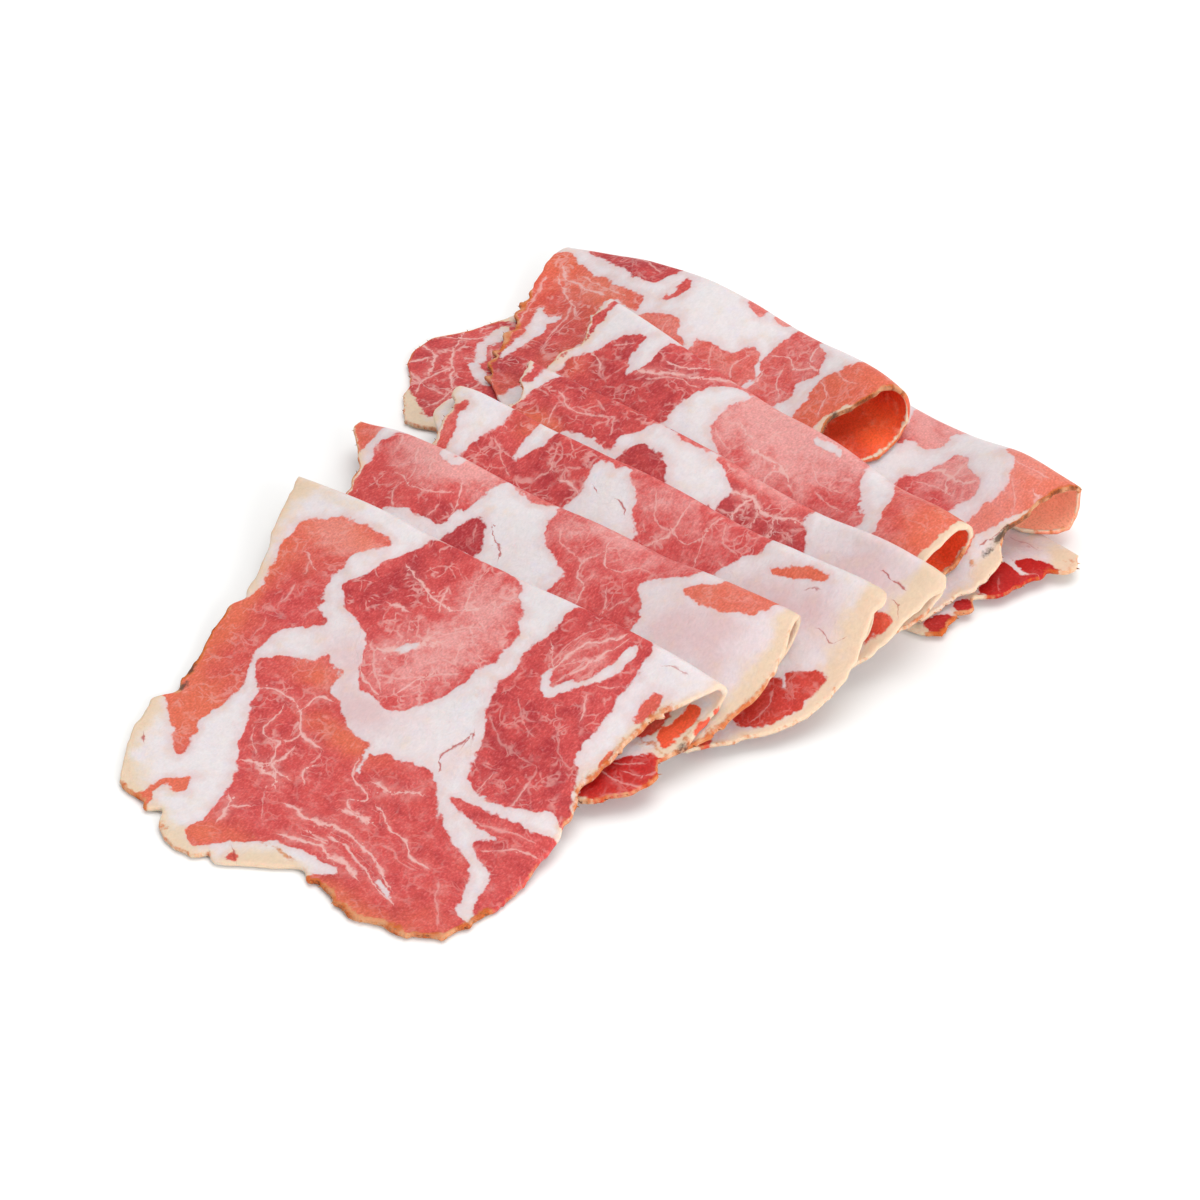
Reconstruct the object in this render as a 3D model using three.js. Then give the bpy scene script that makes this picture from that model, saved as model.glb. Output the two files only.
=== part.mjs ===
/**
 * Sliced coppa: a fan of folded, thin slices of cured pork.
 *
 * Millimetres, +Z up. X runs along the folds. Y runs up the fan, from the slice laid on last
 * (low Y, in front and on top) to the one laid down first (high Y, at the back and underneath).
 *
 * Every slice is one sheet of meat, cut to a ragged rounded outline, folded over once along its
 * own crease and laid on the slices behind it. The longer flap lies on top and the shorter one is
 * tucked below. Each sheet settles by the thickness of whatever already lies under it.
 */
import * as THREE from "three";

// ---- driving sizes ---------------------------------------------------------------------------

/** Thickness the meat is sliced at. */
const THICKNESS = 0.9;

/** Air left between two sheets that lie on each other. */
const AIR = 0.4;

/** What one sheet adds to the height of the fan. */
const LAYER = THICKNESS + AIR;

/** Facets across a slice, along each flap and round the crease. */
const STEPS_ACROSS = 10;
const STEPS_ALONG = 8;
const STEPS_ROUND = 6;

/** Facets across the slice on top and along each of its flaps, as its whole outline is seen. */
const TOP_STEPS_ACROSS = 16;
const TOP_STEPS_ALONG = 11;

/** Width of the band over which a sheet eases down past the edge of one that lies below it. */
const EASE = 22;

/** Free rim beyond an outline that the sheets above still clear. */
const RIM = 1.2;

/** How far the corners of a flap are drawn in, as a share of its squared size. */
const ROUNDING = 0.16;

/** Exponent of the rounded square that stands for the area a flap covers. */
const SQUARENESS = 5;

/**
 * The slices, from the first one laid down to the last.
 *
 *   from, to  left and right end of the crease, [x, y]
 *   crease    radius of the crease where it is closed, and where it ends in an open roll
 *   opens     where the crease starts to open, as a share of its length from the middle
 *   bow       how far the middle of the crease bends back from a straight line
 *   loose     distance from the crease over which the two flaps close on each other
 *   over      the flap on top, and
 *   under     the flap tucked below, each with
 *     left, right   half-widths at even stations from near the crease to the end of the flap
 *     reach         length of the flap at even stations from its left side to its right side
 *   across, along   facets across it and along each flap, where they are not the usual ones
 */
const SLICES = [
  {
    name: "slice_1",
    colour: 0xb23a36,
    from: [-17, 75],
    to: [66.5, 65],
    crease: [0.95, 0.95],
    opens: 0,
    bow: 0,
    loose: 15,
    over: { left: [38, 34, 30], right: [41, 38.5, 38.5], reach: [30, 34, 36, 36.5, 37] },
    under: { left: [38, 34, 30], right: [38, 34, 30], reach: [18, 20, 20, 20, 18] },
  },
  {
    name: "slice_2",
    colour: 0xcf6a5c,
    from: [-35.5, 81.5],
    to: [61.5, 73],
    crease: [1.3, 4.4],
    opens: 0.08,
    bow: 3,
    loose: 13,
    over: { left: [42, 38, 34], right: [46.4, 48.6, 47.5], reach: [44, 46, 46, 46, 47] },
    under: { left: [42, 37, 32], right: [49.5, 49, 47], reach: [18, 20, 21, 18, 14.5] },
  },
  {
    name: "slice_3",
    colour: 0xc65248,
    from: [-59.5, 81.5],
    to: [25.5, 72],
    crease: [1.5, 4.4],
    opens: 0.1,
    bow: 5.6,
    loose: 13,
    over: { left: [40.3, 35.4, 30], right: [37.5, 34, 30], reach: [46, 50, 50, 48, 44] },
    under: { left: [38, 46, 34], right: [44, 43, 36], reach: [66, 53, 36, 30, 28] },
  },
  {
    name: "slice_4",
    colour: 0xc9605a,
    from: [-39, 67.5],
    to: [54, 48.7],
    crease: [1.4, 4.6],
    opens: 0.1,
    bow: -1.5,
    loose: 15,
    over: { left: [44, 42, 38], right: [47, 44, 38], reach: [44, 48, 50, 50, 46] },
    under: { left: [42, 38, 34], right: [47, 44.5, 38], reach: [20, 24, 28, 29, 28] },
  },
  {
    name: "slice_5",
    colour: 0xc45853,
    from: [-41, 44.5],
    to: [57.5, 34.3],
    crease: [1.4, 1.7],
    opens: -0.1,
    bow: 0,
    loose: 15,
    over: { left: [42, 40, 36], right: [48.8, 45, 38], reach: [44, 50, 52, 50, 44] },
    under: { left: [43, 40, 35], right: [49, 47, 41], reach: [20, 24, 28, 28, 22] },
  },
  {
    name: "slice_6",
    colour: 0xca655e,
    from: [-45.5, 30],
    to: [50, 24],
    crease: [1.4, 2.7],
    opens: -0.1,
    bow: 0,
    loose: 15,
    over: { left: [42.5, 41, 38], right: [53.4, 51, 44.5], reach: [44, 50, 52, 50, 47] },
    under: { left: [50, 42, 34], right: [50, 47, 42], reach: [20, 24, 28, 30, 30] },
  },
  {
    name: "slice_7",
    colour: 0xc35550,
    from: [-57, 14],
    to: [44, 10],
    crease: [1.4, 3.2],
    opens: -0.1,
    bow: 0,
    loose: 15,
    over: { left: [40.5, 38, 34], right: [53.6, 50.8, 42], reach: [44, 50, 52, 50, 46] },
    under: { left: [42, 38, 34], right: [50, 50, 46], reach: [20, 24, 28, 30, 32] },
  },
  {
    name: "slice_8",
    colour: 0xcb6059,
    from: [-55.5, -5],
    to: [42.5, -9],
    crease: [1.4, 2.0],
    opens: -0.1,
    bow: 0,
    loose: 20,
    across: TOP_STEPS_ACROSS,
    along: TOP_STEPS_ALONG,
    over: {
      left: [43, 37, 35.5, 32.3, 32, 25],
      right: [44, 41.7, 42.3, 45.4, 46.3, 45.7],
      reach: [80, 76, 78, 76, 71, 69, 71, 71.5, 71.5],
    },
    under: { left: [42, 38, 34], right: [48.5, 49, 45], reach: [20, 24, 28, 31, 33] },
  },
];

// ---- small functions -------------------------------------------------------------------------

/** Value of `x` held between `low` and `high`. */
function clamp(x, low, high) {
  return Math.min(Math.max(x, low), high);
}

/** Smooth step from 0 to 1 with flat ends. */
function ease(x) {
  const s = clamp(x, 0, 1);
  return s * s * s * (s * (s * 6 - 15) + 10);
}

/** Smooth curve through evenly spaced sizes, read at `x` from 0 to 1. */
function through(sizes, x) {
  const last = sizes.length - 1;
  const s = clamp(x, 0, 1) * last;
  const i = Math.min(Math.floor(s), last - 1);
  const f = s - i;
  const b = sizes[i];
  const c = sizes[i + 1];
  const a = i > 0 ? sizes[i - 1] : 2 * b - c;
  const d = i + 2 <= last ? sizes[i + 2] : 2 * c - b;
  return b + 0.5 * f * (c - a + f * (2 * a - 5 * b + 4 * c - d + f * (3 * (b - c) + d - a)));
}

// ---- one folded slice ------------------------------------------------------------------------

/** A slice in its own frame: `along` runs along the crease and `out` away from it, to the front. */
class FoldedSlice {
  constructor(sizes) {
    Object.assign(this, { across: STEPS_ACROSS, along: STEPS_ALONG }, sizes);
    const dx = sizes.to[0] - sizes.from[0];
    const dy = sizes.to[1] - sizes.from[1];
    this.length = Math.hypot(dx, dy);
    this.middle = [(sizes.to[0] + sizes.from[0]) / 2, (sizes.to[1] + sizes.from[1]) / 2];
    this.direction = [dx / this.length, dy / this.length];
  }

  /** Radius of the crease, which opens into a roll towards the right-hand end. */
  radius(along) {
    const [closed, open] = this.crease;
    const k = ease((along / this.length - this.opens) / (0.5 - this.opens));
    return closed + (open - closed) * k;
  }

  /** How far the crease bends back from the straight line between its ends. */
  bend(along) {
    return this.bow * (1 - (2 * along / this.length) ** 2);
  }

  /** Left and right half-width of a flap at share `t` of its length. */
  sides(flap, t) {
    const half = this.length / 2;
    return [through([half, ...flap.left], t), through([half, ...flap.right], t)];
  }

  /** Point of the flat, unfolded sheet: `p` from side to side (-1..1), `t` down a flap (0..1). */
  flat(flap, p, t) {
    const [left, right] = this.sides(flap, t);
    const centre = (right - left) / 2;
    const half = (right + left) / 2;
    const along = centre + p * half * Math.sqrt(1 - ROUNDING * t ** 4);
    const reach = through(flap.reach, (p + 1) / 2);
    return [along, t * reach * Math.sqrt(1 - ROUNDING * p ** 4)];
  }

  /** Plan position of a point given in the slice's own frame. */
  toPlan(along, out) {
    const [ux, uy] = this.direction;
    const front = out - this.bend(along);
    return [this.middle[0] + along * ux + front * uy, this.middle[1] + along * uy - front * ux];
  }

  /** The slice's own frame at a plan position. */
  fromPlan(x, y) {
    const [ux, uy] = this.direction;
    const dx = x - this.middle[0];
    const dy = y - this.middle[1];
    const along = dx * ux + dy * uy;
    return [along, dx * uy - dy * ux + this.bend(along)];
  }

  /** Share of a flap's thickness felt at a plan position: 1 on the flap, 0 well outside it. */
  cover(flap, along, out) {
    const reach = through(flap.reach, along / this.length + 0.5) * Math.sqrt(1 - ROUNDING / 2);
    const down = Math.max(out - this.radius(along), 0) / reach;
    const [left, right] = this.sides(flap, down);
    const half = (left + right) / 2;
    const across = Math.abs(along - (right - left) / 2) / half;
    const ring = (across ** SQUARENESS + down ** SQUARENESS) ** (1 / SQUARENESS);
    const outside = Math.max((ring - 1) * Math.min(half, reach), -out);
    return 1 - ease((outside - RIM) / EASE);
  }

  /** Height between the two flaps, which is the crease's own size there and closes further out. */
  between(along, fromCrease) {
    const open = 2 * this.radius(along) - LAYER;
    return LAYER + open * Math.exp(-((Math.max(fromCrease, 0) / this.loose) ** 2));
  }

  /** Height that this slice adds under whatever lies on it at a plan position. */
  height(x, y) {
    const [along, out] = this.fromPlan(x, y);
    const over = this.cover(this.over, along, out);
    const under = this.cover(this.under, along, out);
    return over * this.between(along, out - this.radius(along)) + under * LAYER;
  }

  /** Point of the folded sheet, on its outer (+1) or inner (-1) face, resting on `support`. */
  folded(along, fromMiddle, face, support) {
    const radius = this.radius(along);
    const angle = clamp(fromMiddle / radius, -Math.PI / 2, Math.PI / 2);
    const flat = Math.max(Math.abs(fromMiddle) - (Math.PI / 2) * radius, 0);
    const bent = radius + face * THICKNESS / 2;
    const out = radius - bent * Math.cos(angle) + flat;
    const [x, y] = this.toPlan(along, out);
    const low = THICKNESS / 2 + support(x, y);
    if (flat === 0) {
      return [x, y, low + radius + bent * Math.sin(angle)];
    }
    if (fromMiddle < 0) {
      return [x, y, low - face * THICKNESS / 2];
    }
    const tucked = this.cover(this.under, along, out) * LAYER;
    const gap = this.between(along, flat) - LAYER;
    return [x, y, low + tucked + gap + face * THICKNESS / 2];
  }

  /** Rows of the sheet from the end of the lower flap, round the crease, to the end of the upper. */
  rows(p) {
    const crease = (Math.PI / 2) * this.radius(this.flat(this.over, p, 0)[0]);
    const points = [];
    for (const [flap, sign] of [[this.under, -1], [this.over, 1]]) {
      const reach = this.flat(flap, p, 1)[1];
      const first = crease / reach;
      const side = [];
      for (let k = 1; k <= STEPS_ROUND / 2; k++) {
        side.push(first * k / (STEPS_ROUND / 2));
      }
      for (let k = 1; k <= this.along; k++) {
        side.push(first + (1 - first) * k / this.along);
      }
      const line = side.map((t) => {
        const [along, down] = this.flat(flap, p, t);
        return [along, sign * down];
      });
      points.push(line);
    }
    const middle = [this.flat(this.over, p, 0)[0], 0];
    return [...points[0].reverse(), middle, ...points[1]];
  }

  /** The slice as one closed solid, resting on the given support height. */
  solid(support) {
    const columns = [];
    for (let i = 0; i <= this.across; i++) {
      columns.push(this.rows(2 * i / this.across - 1));
    }
    const rowCount = columns[0].length;
    const positions = [];
    for (const face of [1, -1]) {
      for (const column of columns) {
        for (const [along, fromMiddle] of column) {
          positions.push(...this.folded(along, fromMiddle, face, support));
        }
      }
    }
    const inner = columns.length * rowCount;
    const at = (i, j, side) => side * inner + i * rowCount + j;
    const index = [];
    const quad = (a, b, c, d) => index.push(a, b, c, a, c, d);
    for (let i = 0; i < this.across; i++) {
      for (let j = 0; j < rowCount - 1; j++) {
        quad(at(i, j, 0), at(i, j + 1, 0), at(i + 1, j + 1, 0), at(i + 1, j, 0));
        quad(at(i, j, 1), at(i + 1, j, 1), at(i + 1, j + 1, 1), at(i, j + 1, 1));
      }
      quad(at(i, 0, 0), at(i + 1, 0, 0), at(i + 1, 0, 1), at(i, 0, 1));
      const end = rowCount - 1;
      quad(at(i, end, 0), at(i, end, 1), at(i + 1, end, 1), at(i + 1, end, 0));
    }
    for (let j = 0; j < rowCount - 1; j++) {
      quad(at(0, j, 0), at(0, j, 1), at(0, j + 1, 1), at(0, j + 1, 0));
      const end = this.across;
      quad(at(end, j, 0), at(end, j + 1, 0), at(end, j + 1, 1), at(end, j, 1));
    }
    const geometry = new THREE.BufferGeometry();
    geometry.setAttribute("position", new THREE.Float32BufferAttribute(positions, 3));
    geometry.setIndex(index);
    geometry.computeVertexNormals();
    return geometry;
  }
}

// ---- the fan ---------------------------------------------------------------------------------

const coppa = new THREE.Group();
coppa.name = "sliced_coppa";

const laid = [];
for (const sizes of SLICES) {
  const slice = new FoldedSlice(sizes);
  const below = [...laid];
  const support = (x, y) => below.reduce((sum, other) => sum + other.height(x, y), 0);
  const meat = new THREE.MeshStandardMaterial({
    name: `${slice.name}_meat`,
    color: slice.colour,
    roughness: 0.45,
    metalness: 0,
  });
  const mesh = new THREE.Mesh(slice.solid(support), meat);
  mesh.name = slice.name;
  coppa.add(mesh);
  laid.push(slice);
}

export default coppa;
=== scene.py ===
"""Sliced coppa: a fan of eight thin slices of cured pork, each folded over once.

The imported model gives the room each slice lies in. This script dresses it: every slice is made
again as one fine, ragged sheet with its muscles, fat seams, rind and mould, and laid exactly
where its solid lies.
"""

import logging
import math
from dataclasses import dataclass, field
from enum import Enum
from typing import ClassVar, TypeVar

import bpy
import numpy as np
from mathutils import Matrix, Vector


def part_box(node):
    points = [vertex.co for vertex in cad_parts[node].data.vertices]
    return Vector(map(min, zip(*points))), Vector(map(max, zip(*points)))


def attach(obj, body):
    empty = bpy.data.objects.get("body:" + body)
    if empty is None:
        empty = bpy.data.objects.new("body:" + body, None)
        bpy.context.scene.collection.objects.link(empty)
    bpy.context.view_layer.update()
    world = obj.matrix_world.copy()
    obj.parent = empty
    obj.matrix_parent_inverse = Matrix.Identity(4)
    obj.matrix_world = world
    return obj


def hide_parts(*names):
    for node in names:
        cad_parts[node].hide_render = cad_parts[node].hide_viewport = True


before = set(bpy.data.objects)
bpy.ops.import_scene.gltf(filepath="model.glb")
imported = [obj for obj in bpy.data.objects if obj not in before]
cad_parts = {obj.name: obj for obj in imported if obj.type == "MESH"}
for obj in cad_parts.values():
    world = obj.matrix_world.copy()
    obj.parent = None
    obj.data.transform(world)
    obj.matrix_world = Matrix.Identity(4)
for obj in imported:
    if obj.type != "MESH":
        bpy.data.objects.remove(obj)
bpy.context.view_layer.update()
LOG = logging.getLogger("sliced_coppa")

MM = 0.001
THICKNESS = 0.9
"""Of one layer of meat. This length and those below are in millimetres."""
AIR = 0.4
"""What is left open between two layers."""
LAYER = THICKNESS + AIR
RIM = 1.2
"""How far past the edge of a slice the one above it stays up."""
EASE = 22.0
"""Over what length it then comes down."""
ROUNDING = 0.16
"""How much the corners of a flap are rounded off."""
SQUARENESS = 5.0
"""The power that makes a flap nearly a rectangle in plan."""
GRID = 0.55
"""Spacing of the sheet's own points: half the width of the finest fat seam."""
FAR = 9.0
"""Stands for any distance at which a line or a band no longer shows."""

Array = np.ndarray
Point = tuple[float, float]
Made = TypeVar("Made")


# ---- small functions ----


def every(kind: type[Made], *table: tuple) -> tuple[Made, ...]:
    """Makes one item from each row of a table.

    Args:
        kind: What is made.
        table: The values of each item, in the order of its fields.

    Returns:
        The items.
    """
    return tuple(kind(*row) for row in table)


def shown(name: str, data: bpy.types.ID) -> bpy.types.Object:
    """Puts a mesh, a lamp or a camera into the scene.

    Args:
        name: The name of its object.
        data: The mesh, lamp or camera.

    Returns:
        The new object.
    """
    made = bpy.data.objects.new(name, data)
    bpy.context.scene.collection.objects.link(made)
    return made


def ease(x: Array) -> Array:
    """Smooth step from 0 to 1 with flat ends."""
    s = np.clip(x, 0.0, 1.0)
    return s * s * s * (s * (s * 6.0 - 15.0) + 10.0)


def through(sizes: tuple[float, ...], x: Array) -> Array:
    """Reads a smooth curve through evenly spaced sizes.

    Args:
        sizes: The sizes, from the first station to the last.
        x: Where to read them, from 0 to 1.

    Returns:
        The size at each x.
    """
    v = np.asarray(sizes, float)
    last = len(v) - 1
    s = np.clip(x, 0.0, 1.0) * last
    i = np.minimum(s.astype(int), last - 1)
    f = s - i
    b, c = v[i], v[i + 1]
    a = np.where(i > 0, v[np.maximum(i - 1, 0)], 2 * b - c)
    d = np.where(i + 2 <= last, v[np.minimum(i + 2, last)], 2 * c - b)
    return b + 0.5 * f * (c - a + f * (2 * a - 5 * b + 4 * c - d + f * (3 * (b - c) + d - a)))


def wander(x: Array, seed: int, step: float) -> Array:
    """Smooth noise along a line.

    Args:
        x: Places along the line, in millimetres.
        seed: Which noise.
        step: Length of one swing, in millimetres.

    Returns:
        Values from about -1 to 1.
    """
    size, above_zero = 512, 1000.0
    table = np.random.default_rng(seed).uniform(-1.0, 1.0, size)
    s = np.asarray(x, float) / step + above_zero
    i = np.floor(s).astype(int)
    f = s - i
    f = f * f * (3.0 - 2.0 * f)
    return table[i % size] * (1.0 - f) + table[(i + 1) % size] * f


def wander_plane(x: Array, y: Array, seed: int, step: float) -> Array:
    """Smooth noise over a plane.

    Args:
        x: First coordinate, in millimetres.
        y: Second coordinate, in millimetres.
        seed: Which noise.
        step: Size of one swell, in millimetres.

    Returns:
        Values from about -1 to 1.
    """
    size, above_zero = 64, 500.0
    table = np.random.default_rng(seed).uniform(-1.0, 1.0, (size, size))
    u, v = (np.asarray(place, float) / step + above_zero for place in (x, y))
    i, j = np.floor(u).astype(int), np.floor(v).astype(int)
    f, g = u - i, v - j
    f, g = f * f * (3.0 - 2.0 * f), g * g * (3.0 - 2.0 * g)
    i0, i1, j0, j1 = i % size, (i + 1) % size, j % size, (j + 1) % size
    low = table[i0, j0] * (1 - f) + table[i1, j0] * f
    high = table[i0, j1] * (1 - f) + table[i1, j1] * f
    return low * (1 - g) + high * g


def rounded(outline: tuple[Point, ...], closed: bool, times: int = 2) -> Array:
    """Cuts the corners of an outline until it runs smoothly.

    Args:
        outline: Its corners.
        closed: Whether the last corner joins the first.
        times: How often the corners are cut.

    Returns:
        The smoother outline, one row for each corner.
    """
    p = np.asarray(outline, float)
    for _ in range(times):
        q = np.roll(p, -1, 0) if closed else p[1:]
        a = p if closed else p[:-1]
        cut = np.stack([0.75 * a + 0.25 * q, 0.25 * a + 0.75 * q], 1).reshape(-1, 2)
        p = cut if closed else np.vstack([p[:1], cut, p[-1:]])
    return p


def from_segment(x: Array, y: Array, start: Point, end: Point) -> tuple[Array, Array, Array]:
    """Finds the nearest point of a straight line between two points.

    Args:
        x: First coordinate of the places, in millimetres.
        y: Second coordinate.
        start: Where the line starts.
        end: Where it ends.

    Returns:
        Its share of the way from start to end, and the two coordinates of each place from it.
    """
    ex, ey = end[0] - start[0], end[1] - start[1]
    dx, dy = x - start[0], y - start[1]
    k = np.clip((dx * ex + dy * ey) / max(ex * ex + ey * ey, 1e-9), 0.0, 1.0)
    return k, dx - k * ex, dy - k * ey


def signed_distance(x: Array, y: Array, outline: Array) -> Array:
    """Distance to a closed outline.

    Args:
        x: First coordinate of the places, in millimetres.
        y: Second coordinate.
        outline: The outline's corners.

    Returns:
        The distance, above zero inside the outline and below zero outside it.
    """
    best = np.full(x.shape, np.inf)
    inside = np.zeros(x.shape, bool)
    for (ax, ay), (bx, by) in zip(outline, np.roll(outline, -1, 0)):
        _, dx, dy = from_segment(x, y, (ax, ay), (bx, by))
        best = np.minimum(best, dx**2 + dy**2)
        if ay != by:
            inside ^= ((ay > y) != (by > y)) & (x < ax + (y - ay) * (bx - ax) / (by - ay))
    return np.sqrt(best) * np.where(inside, 1.0, -1.0)


def line_distance(x: Array, y: Array, path: Array, widths: Array) -> Array:
    """Distance to the edge of a band that follows a path.

    Args:
        x: First coordinate of the places, in millimetres.
        y: Second coordinate.
        path: The points of the band's middle line.
        widths: The band's full width at each of those points.

    Returns:
        The distance, above zero outside the band and below zero in it.
    """
    best = np.full(x.shape, np.inf)
    for start, end, first, last in zip(path[:-1], path[1:], widths[:-1], widths[1:]):
        k, dx, dy = from_segment(x, y, start, end)
        best = np.minimum(best, np.hypot(dx, dy) - 0.5 * (first + k * (last - first)))
    return best


def line_offset(x: Array, y: Array, path: Array) -> Array:
    """Distance to a line, with a sign for the side.

    Args:
        x: First coordinate of the places, in millimetres.
        y: Second coordinate.
        path: The points of the line.

    Returns:
        The distance, above zero on the left of the line and below zero on its right.
    """
    best = np.full(x.shape, np.inf)
    for (ax, ay), (bx, by) in zip(path[:-1], path[1:]):
        _, dx, dy = from_segment(x, y, (ax, ay), (bx, by))
        d = np.hypot(dx, dy)
        side = np.where((bx - ax) * (y - ay) < (by - ay) * (x - ax), -1.0, 1.0)
        best = np.where(d < np.abs(best), d * side, best)
    return best


def linear(code: str) -> tuple[float, float, float, float]:
    """Turns an sRGB hex colour into a linear one.

    Args:
        code: Six hex digits.

    Returns:
        Red, green, blue and a full alpha.
    """
    parts = [int(code[i : i + 2], 16) / 255.0 for i in (0, 2, 4)]
    made = [v / 12.92 if v <= 0.04045 else ((v + 0.055) / 1.055) ** 2.4 for v in parts]
    return (made[0], made[1], made[2], 1.0)


# ---- what a slice is made of ----


class Side(Enum):
    """One of the three free edges of a flap."""

    LEFT = "left"
    RIGHT = "right"
    END = "end"


LEFT, RIGHT, END = Side


class Tint(Enum):
    """Something that shades the sheet from place to place."""

    PINK = "tone"
    WARM = "warm"
    CREAM = "cream"
    RIND = "rind"
    MOULD = "mould"
    HAZE = "haze"
    DEEP = "deep"
    VEINS = "veins"


PINK, WARM, CREAM, RIND, MOULD, HAZE, DEEP, VEINS = Tint


@dataclass(frozen=True)
class Nick:
    """A bite out of a rim, or with a depth below zero a bulge of it.

    Attributes:
        side: The edge it is in.
        at: Where along that edge, in millimetres of the flat sheet.
        width: Its half-width.
        depth: How far it goes in.
    """

    side: Side
    at: float
    width: float
    depth: float


@dataclass(frozen=True)
class Crust:
    """A stretch of dried rind on a rim.

    Attributes:
        side: The edge it is on.
        start: Where it starts along that edge, in millimetres.
        stop: Where it stops.
        strength: How dark it is, from 0 to 1.
        width: How far it reaches into the slice.
        teeth: How far its dried shreds stand out of the rim.
    """

    side: Side
    start: float
    stop: float
    strength: float
    width: float = 0.7
    teeth: float = 0.0


@dataclass(frozen=True)
class Flap:
    """One half of a folded slice.

    Attributes:
        left: Width left of the middle at a third, two thirds and all of the flap's length.
        right: The same on the right.
        reach: The flap's length at five stations from left to right.
        nicks: Bites and bulges of its rim.
        crusts: Dried rind on its rim.
        cream: How yellow its fat turns towards the left, right and free edges.
        warm: How orange its meat turns towards the same edges.
        bark: Width of the rim of fat along the same edges.
    """

    left: tuple[float, ...]
    right: tuple[float, ...]
    reach: tuple[float, ...]
    nicks: tuple[Nick, ...] = ()
    crusts: tuple[Crust, ...] = ()
    cream: tuple[float, float, float] = (0.6, 0.8, 0.5)
    warm: tuple[float, float, float] = (0.5, 0.6, 0.4)
    bark: tuple[float, float, float] = (0.0, 0.0, 0.0)


@dataclass(frozen=True)
class Muscle:
    """One muscle cut across.

    Attributes:
        outline: Its corners on the flat sheet, in millimetres: along the crease and away from it.
        pink: How pale it is, from 0 dark red to 1 pale pink.
        warm: How orange it is, from 0 to 1.
        veins: How much fine fat runs through it, from 0 to 1.
        deep: How vivid and wet it is, from 0 to 1, as inside a fold that air has not reached,
        and how much painted glow it takes there, for light through the thin sheet.
    """

    outline: tuple[Point, ...]
    pink: float = 0.4
    warm: float = 0.15
    veins: float = 0.5
    deep: float = 0.0


@dataclass(frozen=True)
class Seam:
    """A band of clean fat through the meat.

    Attributes:
        path: The points it runs through.
        widths: Its width at even steps along that path.
    """

    path: tuple[Point, ...]
    widths: tuple[float, ...]


@dataclass(frozen=True)
class Line:
    """A fine line on the cut face: a thread of fat or sinew, or a crack drawn in dark red.

    Attributes:
        path: The points it runs through.
        strength: How clearly it shows, from 0 to 1.
        width: Its width, without its soft edges.
    """

    path: tuple[Point, ...]
    strength: float = 0.8
    width: float = 0.3


@dataclass(frozen=True)
class Patch:
    """A soft-edged spot where the sheet is shaded.

    Attributes:
        tint: What it changes.
        along: Where its middle is along the crease.
        away: Where its middle is away from the crease.
        width: Its half-width along the crease.
        height: Its half-width away from the crease.
        gain: How much it adds, or with a value below zero takes away.
        turn: How far it is turned, in degrees.
    """

    tint: Tint
    along: float
    away: float
    width: float
    height: float
    gain: float
    turn: float = 0.0


@dataclass(frozen=True)
class Lining:
    """The inner face of an open roll.

    Attributes:
        rim: Width of the band of fat along its edge, above.
        rim_below: The same, below.
        tone: How pale the meat is, from 0 to 1; near 1 and above, painted light lifts the roll's
            shade.
        warm: How far it has turned orange, from 0 to 1.
        deep: How vivid and wet it is, from 0 to 1, with the painted glow of the inner colours.
    """

    rim: float
    rim_below: float
    tone: float = 0.3
    warm: float = 0.8
    deep: float = 1.0


@dataclass(frozen=True)
class Marbling:
    """Everything that is seen on the cut face of a slice."""

    muscles: tuple[Muscle, ...]
    seams: tuple[Seam, ...] = ()
    strands: tuple[Line, ...] = ()
    patches: tuple[Patch, ...] = ()
    cracks: tuple[Line, ...] = ()


# ---- finishes ----


def add(
    tree: bpy.types.NodeTree,
    kind: str,
    settings: dict[str, object] | None = None,
    inputs: dict[str | int, object] | None = None,
) -> bpy.types.Node:
    """Adds a node with its settings, values and links.

    Args:
        tree: Where it goes.
        kind: Blender's own name of the node.
        settings: Properties of the node.
        inputs: For each named or numbered input a value, a socket to link from, or a node whose
            first live output is linked.

    Returns:
        The new node.
    """
    node = tree.nodes.new(kind)
    for name, value in (settings or {}).items():
        setattr(node, name, value)
    for name, value in (inputs or {}).items():
        if isinstance(value, bpy.types.Node):
            value = next(socket for socket in value.outputs if socket.enabled)
        if isinstance(value, bpy.types.NodeSocket):
            tree.links.new(value, node.inputs[name])
        else:
            node.inputs[name].default_value = value
    return node


def rise(low: float, high: float, most: object = 1.0) -> dict[str, object]:
    """Settings of a step that goes up from 0 at low to most at high."""
    return {"From Min": low, "From Max": high, "To Max": most}


def fall(high: object, most: float = 1.0) -> dict[str, object]:
    """Settings of a step that goes down from most at 0 to 0 at high."""
    return {"From Max": high, "To Min": most, "To Max": 0.0}


MATH, MIX, STEP, NOISE, VECTOR = (
    "ShaderNodeMath", "ShaderNodeMix", "ShaderNodeMapRange", "ShaderNodeTexNoise",
    "ShaderNodeVectorMath",
)
TIMES, LESS, SCALE, MOST, SIZE = (
    {"operation": name} for name in ("MULTIPLY", "SUBTRACT", "MULTIPLY_ADD", "MAXIMUM", "ABSOLUTE")
)
SMOOTH = {"interpolation_type": "SMOOTHSTEP"}
OTHER = {"noise_dimensions": "4D"}
COLOUR = {"data_type": "RGBA"}
TINTED = {"data_type": "RGBA", "blend_type": "MULTIPLY"}


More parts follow.
